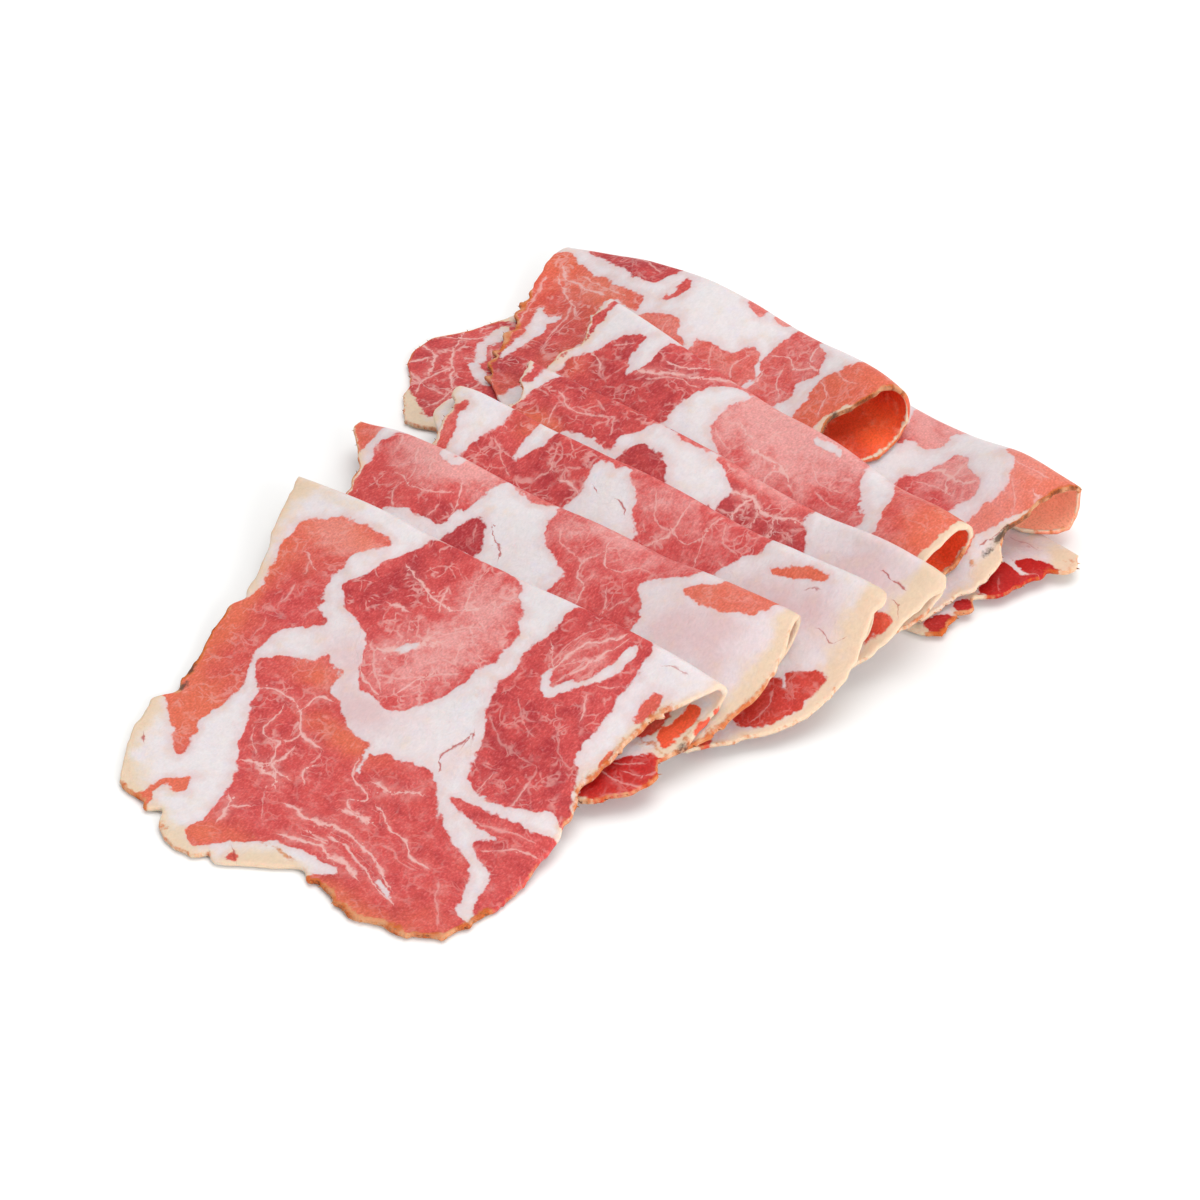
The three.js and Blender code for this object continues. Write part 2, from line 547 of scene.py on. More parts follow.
@dataclass(frozen=True)
class CuredPork:
    """Dry-cured pork neck, sliced thin: moist translucent meat with firm opaque fat.

    The slicing blade leaves the cut nearly flat, so its gloss is soft and broken by the fibres.
    Meat turns orange towards the outside, where it dried, and the fat there turns cream.
    """

    name: str = "cured_pork_neck"
    meat_dark: str = "A62E34"
    meat: str = "C54A48"
    meat_pale: str = "D89490"
    meat_dry: str = "D46A4C"
    inner_red: str = "B01410"
    inner_orange_and_glow: str = "F66034"
    inner_painted_lit: str = "FFB496"
    fat: str = "D8CFD0"
    fat_pink: str = "D0B4B5"
    fat_cool: str = "CFC8D4"
    fat_cream: str = "D6BFA6"
    strand: str = "DBABA5"
    rind: str = "6A3818"
    rind_light: str = "C0642C"
    rind_tan: str = "D0A078"
    mould: str = "4A3C34"
    crack_dark_red: str = "A83A34"
    roughness: float = 0.5
    ior: float = 1.36
    specular: float = 0.3
    subsurface: float = 0.45
    wide_mm: float = 3.0
    fine_mm: float = 0.9
    grain_mm: float = 0.4
    knot_mm: float = 1.3
    push_mm: float = 6.0
    patch_mm: float = 3.4
    vein_mm: float = 4.6
    bundle_mm: float = 3.0
    drift_mm: float = 4.0
    fibre_mm: float = 0.36
    relief_mm: float = 0.22
    glow_mm: float = 2.0

    def make(self) -> bpy.types.Material:
        """Builds the material.

        Returns:
            The finished material.
        """
        material = bpy.data.materials.new(self.name)
        material.use_nodes = True
        t = material.node_tree
        t.nodes.clear()
        on = {
            name: add(t, "ShaderNodeAttribute", {"attribute_name": name}).outputs["Fac"]
            for name in Slice.FIELDS
        }
        place = add(t, "ShaderNodeAttribute", {"attribute_name": "sheet"}).outputs["Vector"]

        # The edge between meat and fat wanders by half a millimetre and frays in finer steps.
        wide = add(t, NOISE, {}, {"Vector": place, "Scale": 1 / self.wide_mm, "Detail": 3.0})
        fine = add(t, NOISE, {}, {"Vector": place, "Scale": 1 / self.fine_mm, "Detail": 3.0})
        grain = add(t, NOISE, {}, {"Vector": place, "Scale": 1 / self.grain_mm, "Detail": 2.0})
        knots = add(
            t, NOISE, OTHER, {"Vector": place, "W": 3.0, "Scale": 1 / self.knot_mm, "Detail": 2.0}
        )
        fray = add(t, MATH, SCALE, {0: wide, 1: 1.9, 2: on["lean"]})
        edge = add(t, MATH, SCALE, {0: fine, 1: 1.3, 2: add(t, MATH, LESS, {0: fray, 1: 1.6})})
        is_meat = add(t, STEP, SMOOTH, {"Value": edge, **rise(-0.26, 0.2)})

        # Fine fat creeps between the fibre bundles in broken wisps, 0.1 to 0.4 mm wide.
        push = add(t, NOISE, {}, {"Vector": place, "Scale": 1 / self.push_mm, "Detail": 2.0})
        pushed, shaken = push.outputs["Color"], wide.outputs["Color"]
        bent = add(t, VECTOR, SCALE, {0: pushed, 1: (4.0, 4.0, 0.0), 2: place})
        crook = add(t, VECTOR, SCALE, {0: shaken, 1: (1.6, 1.6, 0.0), 2: bent})
        patch = add(
            t, NOISE, OTHER, {"Vector": place, "W": 7.0, "Scale": 1 / self.patch_mm, "Detail": 3.0}
        )
        here = add(t, STEP, SMOOTH, {"Value": patch, **rise(0.45, 0.6)})
        share = add(t, MATH, TIMES, {0: here, 1: on["veins"]})
        swell = add(t, NOISE, {}, {"Vector": bent, "Scale": 1 / self.vein_mm, "Detail": 2.5})
        ridge = add(t, MATH, SIZE, {0: add(t, MATH, LESS, {0: swell, 1: 0.5})})
        spread = add(t, MATH, SCALE, {0: fine, 1: 0.09, 2: -0.018})
        line = add(t, STEP, SMOOTH, {"Value": ridge, **fall(spread, 0.8)})
        bundle = add(
            t, "ShaderNodeTexVoronoi", {"feature": "DISTANCE_TO_EDGE"},
            {"Vector": crook, "Scale": 1 / self.bundle_mm},
        )
        border = add(t, MATH, SCALE, {0: fine, 1: 0.4, 2: -0.1})
        net = add(t, STEP, SMOOTH, {"Value": bundle, **fall(border, 0.75)})
        wisp = add(t, MATH, TIMES, {0: add(t, MATH, MOST, {0: line, 1: net}), 1: share})

        # Longer threads swell and thin out along their way, in a paler bed.
        thick = add(t, MATH, SCALE, {0: knots, 1: 1.5, 2: -0.46})
        threads, offs = [], []
        for strength, across in (("strand", "across"), ("strand_too", "across_too")):
            aside = add(t, MATH, LESS, {0: on[across], 1: 0.45})
            stray = add(t, MATH, SCALE, {0: fine, 1: 0.7, 2: aside})
            off = add(t, MATH, SIZE, {0: add(t, MATH, SCALE, {0: grain, 1: 0.2, 2: stray})})
            core = add(t, STEP, SMOOTH, {"Value": off, **fall(thick)})
            clear = add(t, STEP, {}, {"Value": on[strength], "From Max": 0.7})
            threads.append(add(t, MATH, TIMES, {0: core, 1: clear}))
            offs.append(off)
        strand = add(t, MATH, MOST, {0: threads[0], 1: threads[1]})
        beds = add(t, MATH, MOST, {0: on["strand"], 1: on["strand_too"]})
        bare = add(t, STEP, {}, {"Value": on["deep"], "To Min": 0.95, "To Max": 0.5})
        damp = add(t, STEP, {}, {"Value": wide, **rise(0.35, 0.65, 0.5)})
        bed = add(t, MATH, TIMES, {0: beds, 1: add(t, MATH, TIMES, {0: damp, 1: bare})})
        fatty = add(t, MATH, MOST, {0: wisp, 1: strand})

        # Meat: three shades that drift and clot, and cut fibre ends as a fine mottle.
        drift = add(
            t, NOISE, {},
            {"Vector": place, "Scale": 1 / self.drift_mm, "Detail": 5.0, "Roughness": 0.7},
        )
        tone = add(t, MATH, LESS, {0: on["tone"], 1: 0.75})
        shade = add(t, MATH, SCALE, {0: drift, 1: 1.5, 2: tone})
        low = add(t, STEP, SMOOTH, {"Value": shade, "From Max": 0.5})
        high = add(t, STEP, SMOOTH, {"Value": shade, **rise(0.4, 1.1)})
        red = add(t, MIX, COLOUR, {0: low, 6: linear(self.meat_dark), 7: linear(self.meat)})
        red = add(t, MIX, COLOUR, {0: high, 6: red, 7: linear(self.meat_pale)})
        warm = add(t, MATH, LESS, {0: on["warm"], 1: 0.3})
        dried = add(t, MATH, SCALE, {0: wide, 1: 0.6, 2: warm})
        dry = add(t, STEP, SMOOTH, {"Value": dried, "To Max": 0.85})
        red = add(t, MIX, COLOUR, {0: dry, 6: red, 7: linear(self.meat_dry)})
        # Inside a fold the meat is vivid and wet, red to orange. The orange is also a painted glow:
        # brighter than the meat, for light through the thin sheet into the roll's shade.
        wet, ember = linear(self.inner_red), linear(self.inner_orange_and_glow)
        glow = add(t, MIX, COLOUR, {0: on["warm"], 6: wet, 7: ember})
        # Where the tone is high a pale peach comes in: painted light, so the shaded mouth of a roll
        # looks lit.
        lit = add(t, MATH, SCALE, {0: wide, 1: 1.4, 2: add(t, MATH, LESS, {0: on["tone"], 1: 0.7})})
        painted_light_share = add(t, STEP, SMOOTH, {"Value": lit, **rise(0.4, 1.0)})
        glow = add(t, MIX, COLOUR, {0: painted_light_share, 6: glow, 7: linear(self.inner_painted_lit)})
        red = add(t, MIX, COLOUR, {0: on["deep"], 6: red, 7: glow})
        comb = add(t, VECTOR, SCALE, {0: pushed, 1: (1.5, 1.5, 0.0), 2: place})
        combed = add(
            t, "ShaderNodeMapping", {},
            {"Vector": comb, "Rotation": (0.0, 0.0, 0.6), "Scale": (1.0, 0.55, 1.0)},
        )
        fibre = add(t, NOISE, {}, {"Vector": combed, "Scale": 1 / self.fibre_mm, "Detail": 2.0})
        # Pale specks on the fibre ends, fewer where deep: partly pale tissue, partly painted glints
        # of light.
        pale = add(t, STEP, {}, {"Value": on["deep"], "To Min": 0.15, "To Max": 0.03})
        glint = add(t, STEP, SMOOTH, {"Value": fibre, **rise(0.5, 0.72, pale)})
        red = add(t, MIX, COLOUR, {0: glint, 6: red, 7: linear(self.meat_pale)})
        speck = add(t, MATH, SCALE, {0: fibre, 1: 0.45, 2: 0.47})
        mottle = add(t, MATH, SCALE, {0: grain, 1: 0.6, 2: speck})
        dim = add(t, "ShaderNodeCombineColor", {}, {0: mottle, 1: mottle, 2: mottle})
        red = add(t, MIX, TINTED, {0: 1.0, 6: red, 7: dim})
        red = add(t, MIX, COLOUR, {0: bed, 6: red, 7: linear(self.meat_pale)})
        sinew = add(t, MATH, TIMES, {0: fatty, 1: bare})
        red = add(t, MIX, COLOUR, {0: sinew, 6: red, 7: linear(self.strand)})

        # Fat: white, with a blush where meat lies close and cream towards the outside.
        near = add(t, MATH, SCALE, {0: wide, 1: 3.0, 2: edge})
        blush = add(t, STEP, SMOOTH, {"Value": near, **rise(-1.2, 1.9, 0.75)})
        hazy = add(t, MATH, MOST, {0: blush, 1: add(t, MATH, TIMES, {0: on["haze"], 1: push})})
        cool = add(t, STEP, SMOOTH, {"Value": drift, **rise(0.5, 0.75, 0.6)})
        white = add(t, MIX, COLOUR, {0: cool, 6: linear(self.fat), 7: linear(self.fat_cool)})
        white = add(t, MIX, COLOUR, {0: hazy, 6: white, 7: linear(self.fat_pink)})
        cream = add(t, MATH, LESS, {0: on["cream"], 1: 0.6})
        aged = add(t, MATH, SCALE, {0: wide, 1: 1.3, 2: cream})
        aged = add(t, MATH, SCALE, {0: fine, 1: 0.5, 2: add(t, MATH, LESS, {0: aged, 1: 0.25})})
        old = add(t, STEP, SMOOTH, {"Value": aged})
        white = add(t, MIX, COLOUR, {0: old, 6: white, 7: linear(self.fat_cream)})
        ribs = add(t, MATH, SCALE, {0: fibre, 1: 0.16, 2: 0.84})
        lumps = add(t, MATH, SCALE, {0: fine, 1: 0.16, 2: ribs})
        dull = add(t, "ShaderNodeCombineColor", {}, {0: lumps, 1: lumps, 2: lumps})
        white = add(t, MIX, TINTED, {0: 1.0, 6: white, 7: dull})
        colour = add(t, MIX, COLOUR, {0: is_meat, 6: white, 7: red})

        # Torn lines are drawn dark red. Rind is brown skin in patches, with a grey bloom of mould.
        torn = add(t, STEP, {}, {"Value": on["crack"], "From Max": 0.8})
        slit = add(t, STEP, SMOOTH, {"Value": offs[0], **fall(thick, 0.85)})
        gash = add(t, MATH, TIMES, {0: slit, 1: torn})
        colour = add(t, MIX, COLOUR, {0: gash, 6: colour, 7: linear(self.crack_dark_red)})
        rind = add(t, MATH, LESS, {0: on["rind"], 1: 0.5})
        skinny = add(t, MATH, SCALE, {0: fine, 1: 1.0, 2: rind})
        crust = add(t, STEP, SMOOTH, {"Value": skinny, **rise(0.22, 0.62, 0.92)})
        grit = add(t, MATH, SCALE, {0: grain, 1: 1.3, 2: 1.1})
        age = add(t, MATH, SCALE, {0: on["rind"], 1: -1.5, 2: grit})
        light = add(t, STEP, SMOOTH, {"Value": age, **rise(0.1, 0.7)})
        skin = add(t, MIX, COLOUR, {0: light, 6: linear(self.rind), 7: linear(self.rind_light)})
        crumb = add(t, STEP, SMOOTH, {"Value": wide, **rise(0.42, 0.62, 0.75)})
        skin = add(t, MIX, COLOUR, {0: crumb, 6: skin, 7: linear(self.rind_tan)})
        colour = add(t, MIX, COLOUR, {0: crust, 6: colour, 7: skin})
        dust = add(t, MATH, SCALE, {0: grain, 1: 0.5, 2: -0.1})
        clump = add(t, MATH, SCALE, {0: fine, 1: 1.0, 2: dust})
        dusty = add(t, MATH, TIMES, {0: clump, 1: on["mould"]})
        bloom = add(t, STEP, SMOOTH, {"Value": dusty, **rise(0.35, 0.85, 0.85)})
        colour = add(t, MIX, COLOUR, {0: bloom, 6: colour, 7: linear(self.mould)})

        # Relief: fibre ends stand about 0.03 mm proud, fat a little more, and rind is rough.
        relief = add(t, MATH, TIMES, {0: is_meat, 1: -0.45})
        rough_rind = add(t, MATH, TIMES, {0: crust, 1: grain})
        for source, height in ((fibre, 0.5), (fatty, 0.3), (rough_rind, 1.4), (wide, 1.2)):
            relief = add(t, MATH, SCALE, {0: source, 1: height, 2: relief})
        bump = add(
            t, "ShaderNodeBump", {},
            {"Strength": 0.6, "Distance": self.relief_mm * MM, "Height": relief},
        )
        rough = add(t, MATH, SCALE, {0: fine, 1: 0.2, 2: self.roughness - 0.1})
        rough = add(t, MATH, SCALE, {0: crust, 1: 0.3, 2: rough})
        shader = add(
            t, "ShaderNodeBsdfPrincipled", {"subsurface_method": "RANDOM_WALK"},
            {
                "Base Color": colour, "Roughness": rough, "IOR": self.ior,
                "Specular IOR Level": self.specular,
                "Subsurface Weight": self.subsurface, "Subsurface Radius": (1.0, 0.35, 0.25),
                "Subsurface Scale": self.glow_mm * MM, "Normal": bump,
            },
        )
        add(t, "ShaderNodeOutputMaterial", {}, {"Surface": shader})
        return material


@dataclass(frozen=True)
class DriedShred:
    """Frayed shreds of dried skin on the rim: dull, brown and slightly orange."""

    name: str = "dried_rind_shreds"
    dark: str = "6E3A20"
    light: str = "C47A3C"
    roughness: float = 0.7

    def make(self) -> bpy.types.Material:
        """Builds the material.

        Returns:
            The finished material.
        """
        material = bpy.data.materials.new(self.name)
        material.use_nodes = True
        t = material.node_tree
        t.nodes.clear()
        place = add(t, "ShaderNodeTexCoord").outputs["Object"]
        grain = add(t, NOISE, {}, {"Vector": place, "Scale": 900.0, "Detail": 3.0})
        share = add(t, STEP, {}, {"Value": grain, **rise(0.35, 0.65)})
        skin = add(t, MIX, COLOUR, {0: share, 6: linear(self.dark), 7: linear(self.light)})
        bump = add(t, "ShaderNodeBump", {}, {"Strength": 0.5, "Distance": 0.0001, "Height": grain})
        shader = add(
            t, "ShaderNodeBsdfPrincipled", {},
            {"Base Color": skin, "Roughness": self.roughness, "Normal": bump},
        )
        add(t, "ShaderNodeOutputMaterial", {}, {"Surface": shader})
        return material


# ---- one folded slice ----


@dataclass
class Slice:
    """A folded slice: its flat shape, how it is folded, where it lies and what shows on it.

    `along` runs along the crease from its middle, and `away` runs away from it: above zero on the
    flap on top, below zero on the flap tucked under. Lengths are in millimetres.

    Attributes:
        node: The solid that it takes the place of.
        start: The left end of its crease in plan.
        end: The right end.
        crease: Radius of the crease at its middle and at its right end.
        over: The flap on top.
        under: The flap tucked under.
        marbling: What shows on its cut face.
        opens: Where along the crease the roll starts to open, as a share of its length.
        bow: How far the crease bends back in the middle.
        loose: How far from the crease the two flaps come together.
        lining: The inner face of its open roll, where it has one.
        seed: Which noise makes its edges and its grain.
    """

    FIELDS: ClassVar[tuple[str, ...]] = (
        "lean", "tone", "warm", "veins", "deep", "cream", "rind", "mould", "haze", "crack",
        "strand", "strand_too", "across", "across_too",
    )
    """What the finish reads at every point."""
    SWELLS: ClassVar[tuple[tuple, ...]] = ((0.5, 7, 17.0), (0.22, 8, 8.0))
    """Height, noise and width of the waves in the stack of slices."""
    LEVEL: ClassVar[float] = 1.2
    """The height in millimetres below which there are none."""
    RAGS: ClassVar[tuple[tuple, ...]] = ((0.45, 0, 5.5, 6.0), (0.22, 50, 1.5, 1.6))
    """Depth, noise, step and reach of the raggedness of a cut edge."""
    TEETH: ClassVar[tuple[tuple, ...]] = ((1.0, 70, 1.25), (0.6, 90, 2.9))
    """Share, noise and step of the teeth of a dried one."""
    WARPS: ClassVar[tuple[tuple, ...]] = ((0.7, 21, 4.0), (0.3, 23, 1.7))
    """Size, noise and step of the bends in the marbling's drawn lines."""
    BEND_STEP: ClassVar[float] = 0.4
    """Spacing of the points around the crease, in millimetres."""
    WALL: ClassVar[float] = 0.16
    """How far the middle of the cut rim stands out, in millimetres."""

    node: str
    start: Point
    end: Point
    crease: Point
    over: Flap
    under: Flap
    marbling: Marbling
    opens: float = -0.1
    bow: float = 0.0
    loose: float = 15.0
    lining: Lining | None = None
    seed: int = 1
    length: float = field(init=False)
    middle: Point = field(init=False)
    direction: Point = field(init=False)

    def __post_init__(self) -> None:
        """Works out the crease's length, middle and direction."""
        dx, dy = self.end[0] - self.start[0], self.end[1] - self.start[1]
        self.length = math.hypot(dx, dy)
        self.middle = ((self.start[0] + self.end[0]) / 2, (self.start[1] + self.end[1]) / 2)
        self.direction = (dx / self.length, dy / self.length)

    # -- the folded form --

    def radius(self, along: Array) -> Array:
        """Radius of the crease, which opens into a roll towards the right-hand end."""
        share = ease((along / self.length - self.opens) / (0.5 - self.opens))
        return self.crease[0] + (self.crease[1] - self.crease[0]) * share

    def bend(self, along: Array) -> Array:
        """How far the crease bends back from the straight line between its ends."""
        return self.bow * (1.0 - (2.0 * along / self.length) ** 2)

    def sides(self, flap: Flap, share: Array) -> tuple[Array, Array]:
        """Left and right half-width of a flap at a share of its length."""
        half = self.length / 2
        return through((half, *flap.left), share), through((half, *flap.right), share)

    def cover(self, flap: Flap, along: Array, out: Array) -> Array:
        """Share of a flap's thickness felt at a place in plan.

        Args:
            flap: The flap.
            along: Place along the crease.
            out: Place in front of the crease.

        Returns:
            1 on the flap, falling to 0 well outside it.
        """
        reach = through(flap.reach, along / self.length + 0.5) * math.sqrt(1 - ROUNDING / 2)
        down = np.maximum(out - self.radius(along), 0.0) / reach
        left, right = self.sides(flap, down)
        half = (left + right) / 2
        across = np.abs(along - (right - left) / 2) / half
        ring = (across**SQUARENESS + down**SQUARENESS) ** (1 / SQUARENESS)
        outside = np.maximum((ring - 1.0) * np.minimum(half, reach), -out)
        return 1.0 - ease((outside - RIM) / EASE)

    def between(self, along: Array, from_crease: Array) -> Array:
        """Height between the two flaps, largest at the crease and closing further out."""
        gap = 2.0 * self.radius(along) - LAYER
        return LAYER + gap * np.exp(-((np.maximum(from_crease, 0.0) / self.loose) ** 2))

    def height(self, x: Array, y: Array) -> Array:
        """Height that this slice adds under whatever lies on it.

        Args:
            x: Places in plan, in millimetres.
            y: The same.

        Returns:
            The added height at each place.
        """
        ux, uy = self.direction
        dx, dy = x - self.middle[0], y - self.middle[1]
        along = dx * ux + dy * uy
        out = dx * uy - dy * ux + self.bend(along)
        over, under = self.cover(self.over, along, out), self.cover(self.under, along, out)
        return over * self.between(along, out - self.radius(along)) + under * LAYER

    def folded(self, along: Array, away: Array, face: float, below: list["Slice"]) -> Array:
        """Lays points of the flat sheet in place.

        Args:
            along: Place along the crease, in millimetres.
            away: Place away from it.
            face: 1 for the outer face, -1 for the inner one, and between them inside the sheet.
            below: The slices that lie below.

        Returns:
            One row of x, y and z for each point.
        """
        radius = self.radius(along)
        angle = np.clip(away / radius, -math.pi / 2, math.pi / 2)
        flat = np.maximum(np.abs(away) - math.pi / 2 * radius, 0.0)
        bent = radius + face * THICKNESS / 2
        out = radius - bent * np.cos(angle) + flat
        front = out - self.bend(along)
        ux, uy = self.direction
        x = self.middle[0] + along * ux + front * uy
        y = self.middle[1] + along * uy - front * ux
        low = np.full(x.shape, THICKNESS / 2)
        for other in below:
            low = low + other.height(x, y)
        tucked = self.cover(self.under, along, out) * LAYER
        gap = self.between(along, flat) - LAYER
        top = low + tucked + gap + face * THICKNESS / 2
        bottom = low - face * THICKNESS / 2
        turn = low + radius + bent * np.sin(angle)
        z = np.where(flat > 0, np.where(away > 0, top, bottom), turn)
        swell = sum(size * wander_plane(x, y, noise, step) for size, noise, step in self.SWELLS)
        z = z + swell * np.clip((z - self.LEVEL) / 4.0, 0.0, 1.0)
        return np.stack([x, y, z], -1)

    # -- the flat sheet --

    def flap_grid(self, flap: Flap, across: Array, down: Array) -> tuple[Array, ...]:
        """Lays out one flap of the flat sheet with its ragged rim.

        Args:
            flap: The flap.
            across: Stations from side to side, from -1 to 1, one row for each station down.
            down: Stations from the crease to the free edge, from 0 to 1.

        Returns:
            Place along the crease, place away from it, and the distances to the left, right and
            free edges.
        """
        left, right = self.sides(flap, down)
        centre, half = (right - left) / 2, (right + left) / 2
        half = half * np.sqrt(1.0 - ROUNDING * down**4)
        along = centre + across * half
        reach = through(flap.reach, (across + 1.0) / 2) * np.sqrt(1.0 - ROUNDING * across**4)
        away = down * reach
        from_left, from_right = (1.0 + across) * half, (1.0 - across) * half
        from_end = (1.0 - down) * reach
        spots = {LEFT: away, RIGHT: away, END: along}
        gaps = {LEFT: from_left, RIGHT: from_right, END: from_end}
        inward = {LEFT: (1.0, 0.0), RIGHT: (-1.0, 0.0), END: (0.0, -1.0)}
        shift_a, shift_b = np.zeros_like(along), np.zeros_like(along)
        for number, side in enumerate(Side):
            spot, gap = spots[side], gaps[side]
            seed = self.seed * 10 + number + (100 if flap is self.under else 0)
            swing = np.zeros_like(along)
            for depth, noise, step, soft in self.RAGS:
                swing += depth * wander(spot, seed + noise, step) * np.exp(-((gap / soft) ** 2))
            for nick in flap.nicks:
                if nick.side is side:
                    shape = np.exp(-(((spot - nick.at) / nick.width) ** 2))
                    soft = max(3.0, 1.5 * abs(nick.depth))
                    swing += nick.depth * shape * np.exp(-((gap / soft) ** 2))
            for crust in flap.crusts:
                if crust.side is side and crust.teeth > 0.0:
                    inside = ease((spot - crust.start) / 2.0) * ease((crust.stop - spot) / 2.0)
                    jag = sum(
                        share * np.maximum(wander(spot, seed + noise, step), 0.0) ** 2
                        for share, noise, step in self.TEETH
                    )
                    swing -= crust.teeth * inside * (jag - 0.25) * np.exp(-((gap / 1.1) ** 2))
            shift_a += inward[side][0] * swing
            shift_b += inward[side][1] * swing
        fade = np.clip(away / 2.5, 0.0, 1.0)
        return along + shift_a * fade, away + shift_b * fade, from_left, from_right, from_end

    def sheet(self) -> dict[str, Array]:
        """Lays out the whole flat sheet.

        Returns:
            Grids, one row for each station from the end of the lower flap to that of the upper
            one: `along`, `away`, the distances `left`, `right` and `end` to the edges, and `upper`.
        """
        columns = int(round(self.length / GRID)) + 1
        across = np.linspace(-1.0, 1.0, columns)
        rows = []
        for flap, sign in ((self.under, -1.0), (self.over, 1.0)):
            crease = math.pi / 2 * float(self.radius(np.array([self.length / 2]))[0])
            reach = max(flap.reach)
            bends = int(max(6, round(crease / self.BEND_STEP)))
            steps = int(round((reach - crease) / GRID))
            first = crease / reach
            down = np.concatenate(
                [np.linspace(0.0, first, bends + 1), np.linspace(first, 1.0, steps + 1)[1:]]
            )
            grid_down, grid_across = np.meshgrid(down, across, indexing="ij")
            along, away, left, right, end = self.flap_grid(flap, grid_across, grid_down)
            part = np.stack([along, away * sign, left, right, end, np.full_like(along, sign)])
            rows.append(part[:, :0:-1] if sign < 0 else part)
        made = np.concatenate(rows, 1)
        return dict(zip(("along", "away", "left", "right", "end", "upper"), made))

    # -- what shows on it --

    def fields(self, sheet: dict[str, Array]) -> dict[str, Array]:
        """Reads the marbling at every point of the sheet.

        Args:
            sheet: The flat sheet.

        Returns:
            One grid for each of the fields that the finish reads.
        """
        x, y = sheet["along"], sheet["away"]
        warp = self.seed * 31.0
        px, py = x.copy(), y.copy()
        for gain, number, step in self.WARPS:
            px += gain * wander_plane(x + warp, y, number, step)
            py += gain * wander_plane(x, y + warp, number + 1, step)
        made = {name: np.zeros(x.shape) for name in self.FIELDS}
        made["lean"] -= 6.0
        total = np.full(x.shape, 1e-6)
        for muscle in self.marbling.muscles:
            depth = signed_distance(px, py, rounded(muscle.outline, True))
            made["lean"] = np.maximum(made["lean"], depth)
            weight = np.exp(np.clip(depth, -12.0, 4.0) / 1.2)
            total += weight
            for tint, value in (
                (PINK, muscle.pink), (WARM, muscle.warm),
                (VEINS, muscle.veins), (DEEP, muscle.deep),
            ):
                made[tint.value] += weight * value
        for tint in (PINK, WARM, VEINS, DEEP):
            made[tint.value] /= total
        for seam in self.marbling.seams:
            path = rounded(seam.path, False)
            stations = np.linspace(0.0, 1.0, len(seam.widths))
            widths = np.interp(np.linspace(0.0, 1.0, len(path)), stations, seam.widths)
            made["lean"] = np.minimum(made["lean"], line_distance(px, py, path, widths))
        lines = [(line, "crack", "across") for line in self.marbling.cracks]
        for number, line in enumerate(self.marbling.strands):
            name = ("strand_too", "strand")[number % 2]
            lines.append((line, name, name.replace("strand", "across")))
        made["across"] += FAR
        made["across_too"] += FAR
        for line, name, field_name in lines:
            across = line_offset(px, py, rounded(line.path, False)) * 0.3 / line.width
            nearer = np.abs(across) < np.abs(made[field_name])
            made[field_name] = np.where(nearer, across, made[field_name])
            shown = line.strength * np.exp(-((np.abs(across) / 0.62) ** 2))
            made[name] = np.maximum(made[name], shown)
        for patch in self.marbling.patches:
            turn = math.radians(patch.turn)
            du, dv = px - patch.along, py - patch.away
            u = du * math.cos(turn) + dv * math.sin(turn)
            v = -du * math.sin(turn) + dv * math.cos(turn)
            spot = np.exp(-((u / patch.width) ** 2) - (v / patch.height) ** 2)
            made[patch.tint.value] += patch.gain * spot
        self._rims(sheet, made)
        return made

    def _rims(self, sheet: dict[str, Array], made: dict[str, Array]) -> None:
        """Adds what depends on the distance to the rim.

        Args:
            sheet: The flat sheet.
            made: The fields so far, which are changed in place.
        """
        upper = sheet["upper"] > 0
        gaps = {LEFT: sheet["left"], RIGHT: sheet["right"], END: sheet["end"]}
        for flap, on in ((self.over, upper), (self.under, ~upper)):
            for number, side in enumerate((LEFT, RIGHT, END)):
                gap = gaps[side]
                spot = sheet["along"] if side is END else np.abs(sheet["away"])
                uneven = 1.0 + 0.5 * wander(spot, self.seed * 10 + number + 300, 6.0)
                near = np.exp(-((gap / (1.9 * uneven)) ** 1.3))
                thick = 1.0 + 0.8 * wander(spot, self.seed * 5 + number + 60, 3.0)
                bark = flap.bark[number] * thick
                fatty = np.where(on & (flap.bark[number] > 0.0), gap - bark, FAR)
                made["lean"] = np.minimum(made["lean"], fatty)
                made["cream"] += np.where(on, flap.cream[number] * near, 0.0)
                made["warm"] += np.where(on, flap.warm[number] * near, 0.0)
                for crust in flap.crusts:
                    if crust.side is side:
                        inside = ease((spot - crust.start) / 3.0 + 0.5)
                        inside *= ease((crust.stop - spot) / 3.0 + 0.5)
                        deep = crust.width * (1.0 + 0.6 * wander(spot, self.seed * 7 + number, 2.2))
                        dark = crust.strength * inside * np.exp(-((gap / deep) ** 2))
                        made["rind"] = np.maximum(made["rind"], np.where(on, dark, 0.0))

    def _inside(self, sheet: dict[str, Array], made: dict[str, Array]) -> dict[str, Array]:
        """Works out the fields of the inner face, painted a glowing orange where the roll is open:
        vivid meat with painted light, for light through the thin sheet.

        Args:
            sheet: The flat sheet.
            made: The fields of the outer face.

        Returns:
            The fields of the inner face.
        """
        if self.lining is None:
            return made
        right, away, lining = sheet["right"], sheet["away"], self.lining
        within = ease((22.0 - right) / 8.0) * ease((20.0 - np.abs(away)) / 5.0)
        band = lining.rim + (lining.rim_below - lining.rim) * ease(-away / 4.0)
        band *= 1.0 + 0.4 * wander(away, self.seed + 400, 4.0)
        lined = {
            "lean": np.clip(right - band, -6.0, 3.0), "deep": lining.deep, "veins": 0.2,
            "warm": lining.warm + 0.3 * wander_plane(sheet["along"], away, 31, 5.0),
            "tone": lining.tone, "cream": 0.9, "haze": 0.2, "crack": 0.0, "strand": 0.0,
            "strand_too": 0.0,
        }
        inner = dict(made)
        for name, value in lined.items():
            inner[name] = made[name] + (value - made[name]) * within
        return inner

    # -- the mesh --

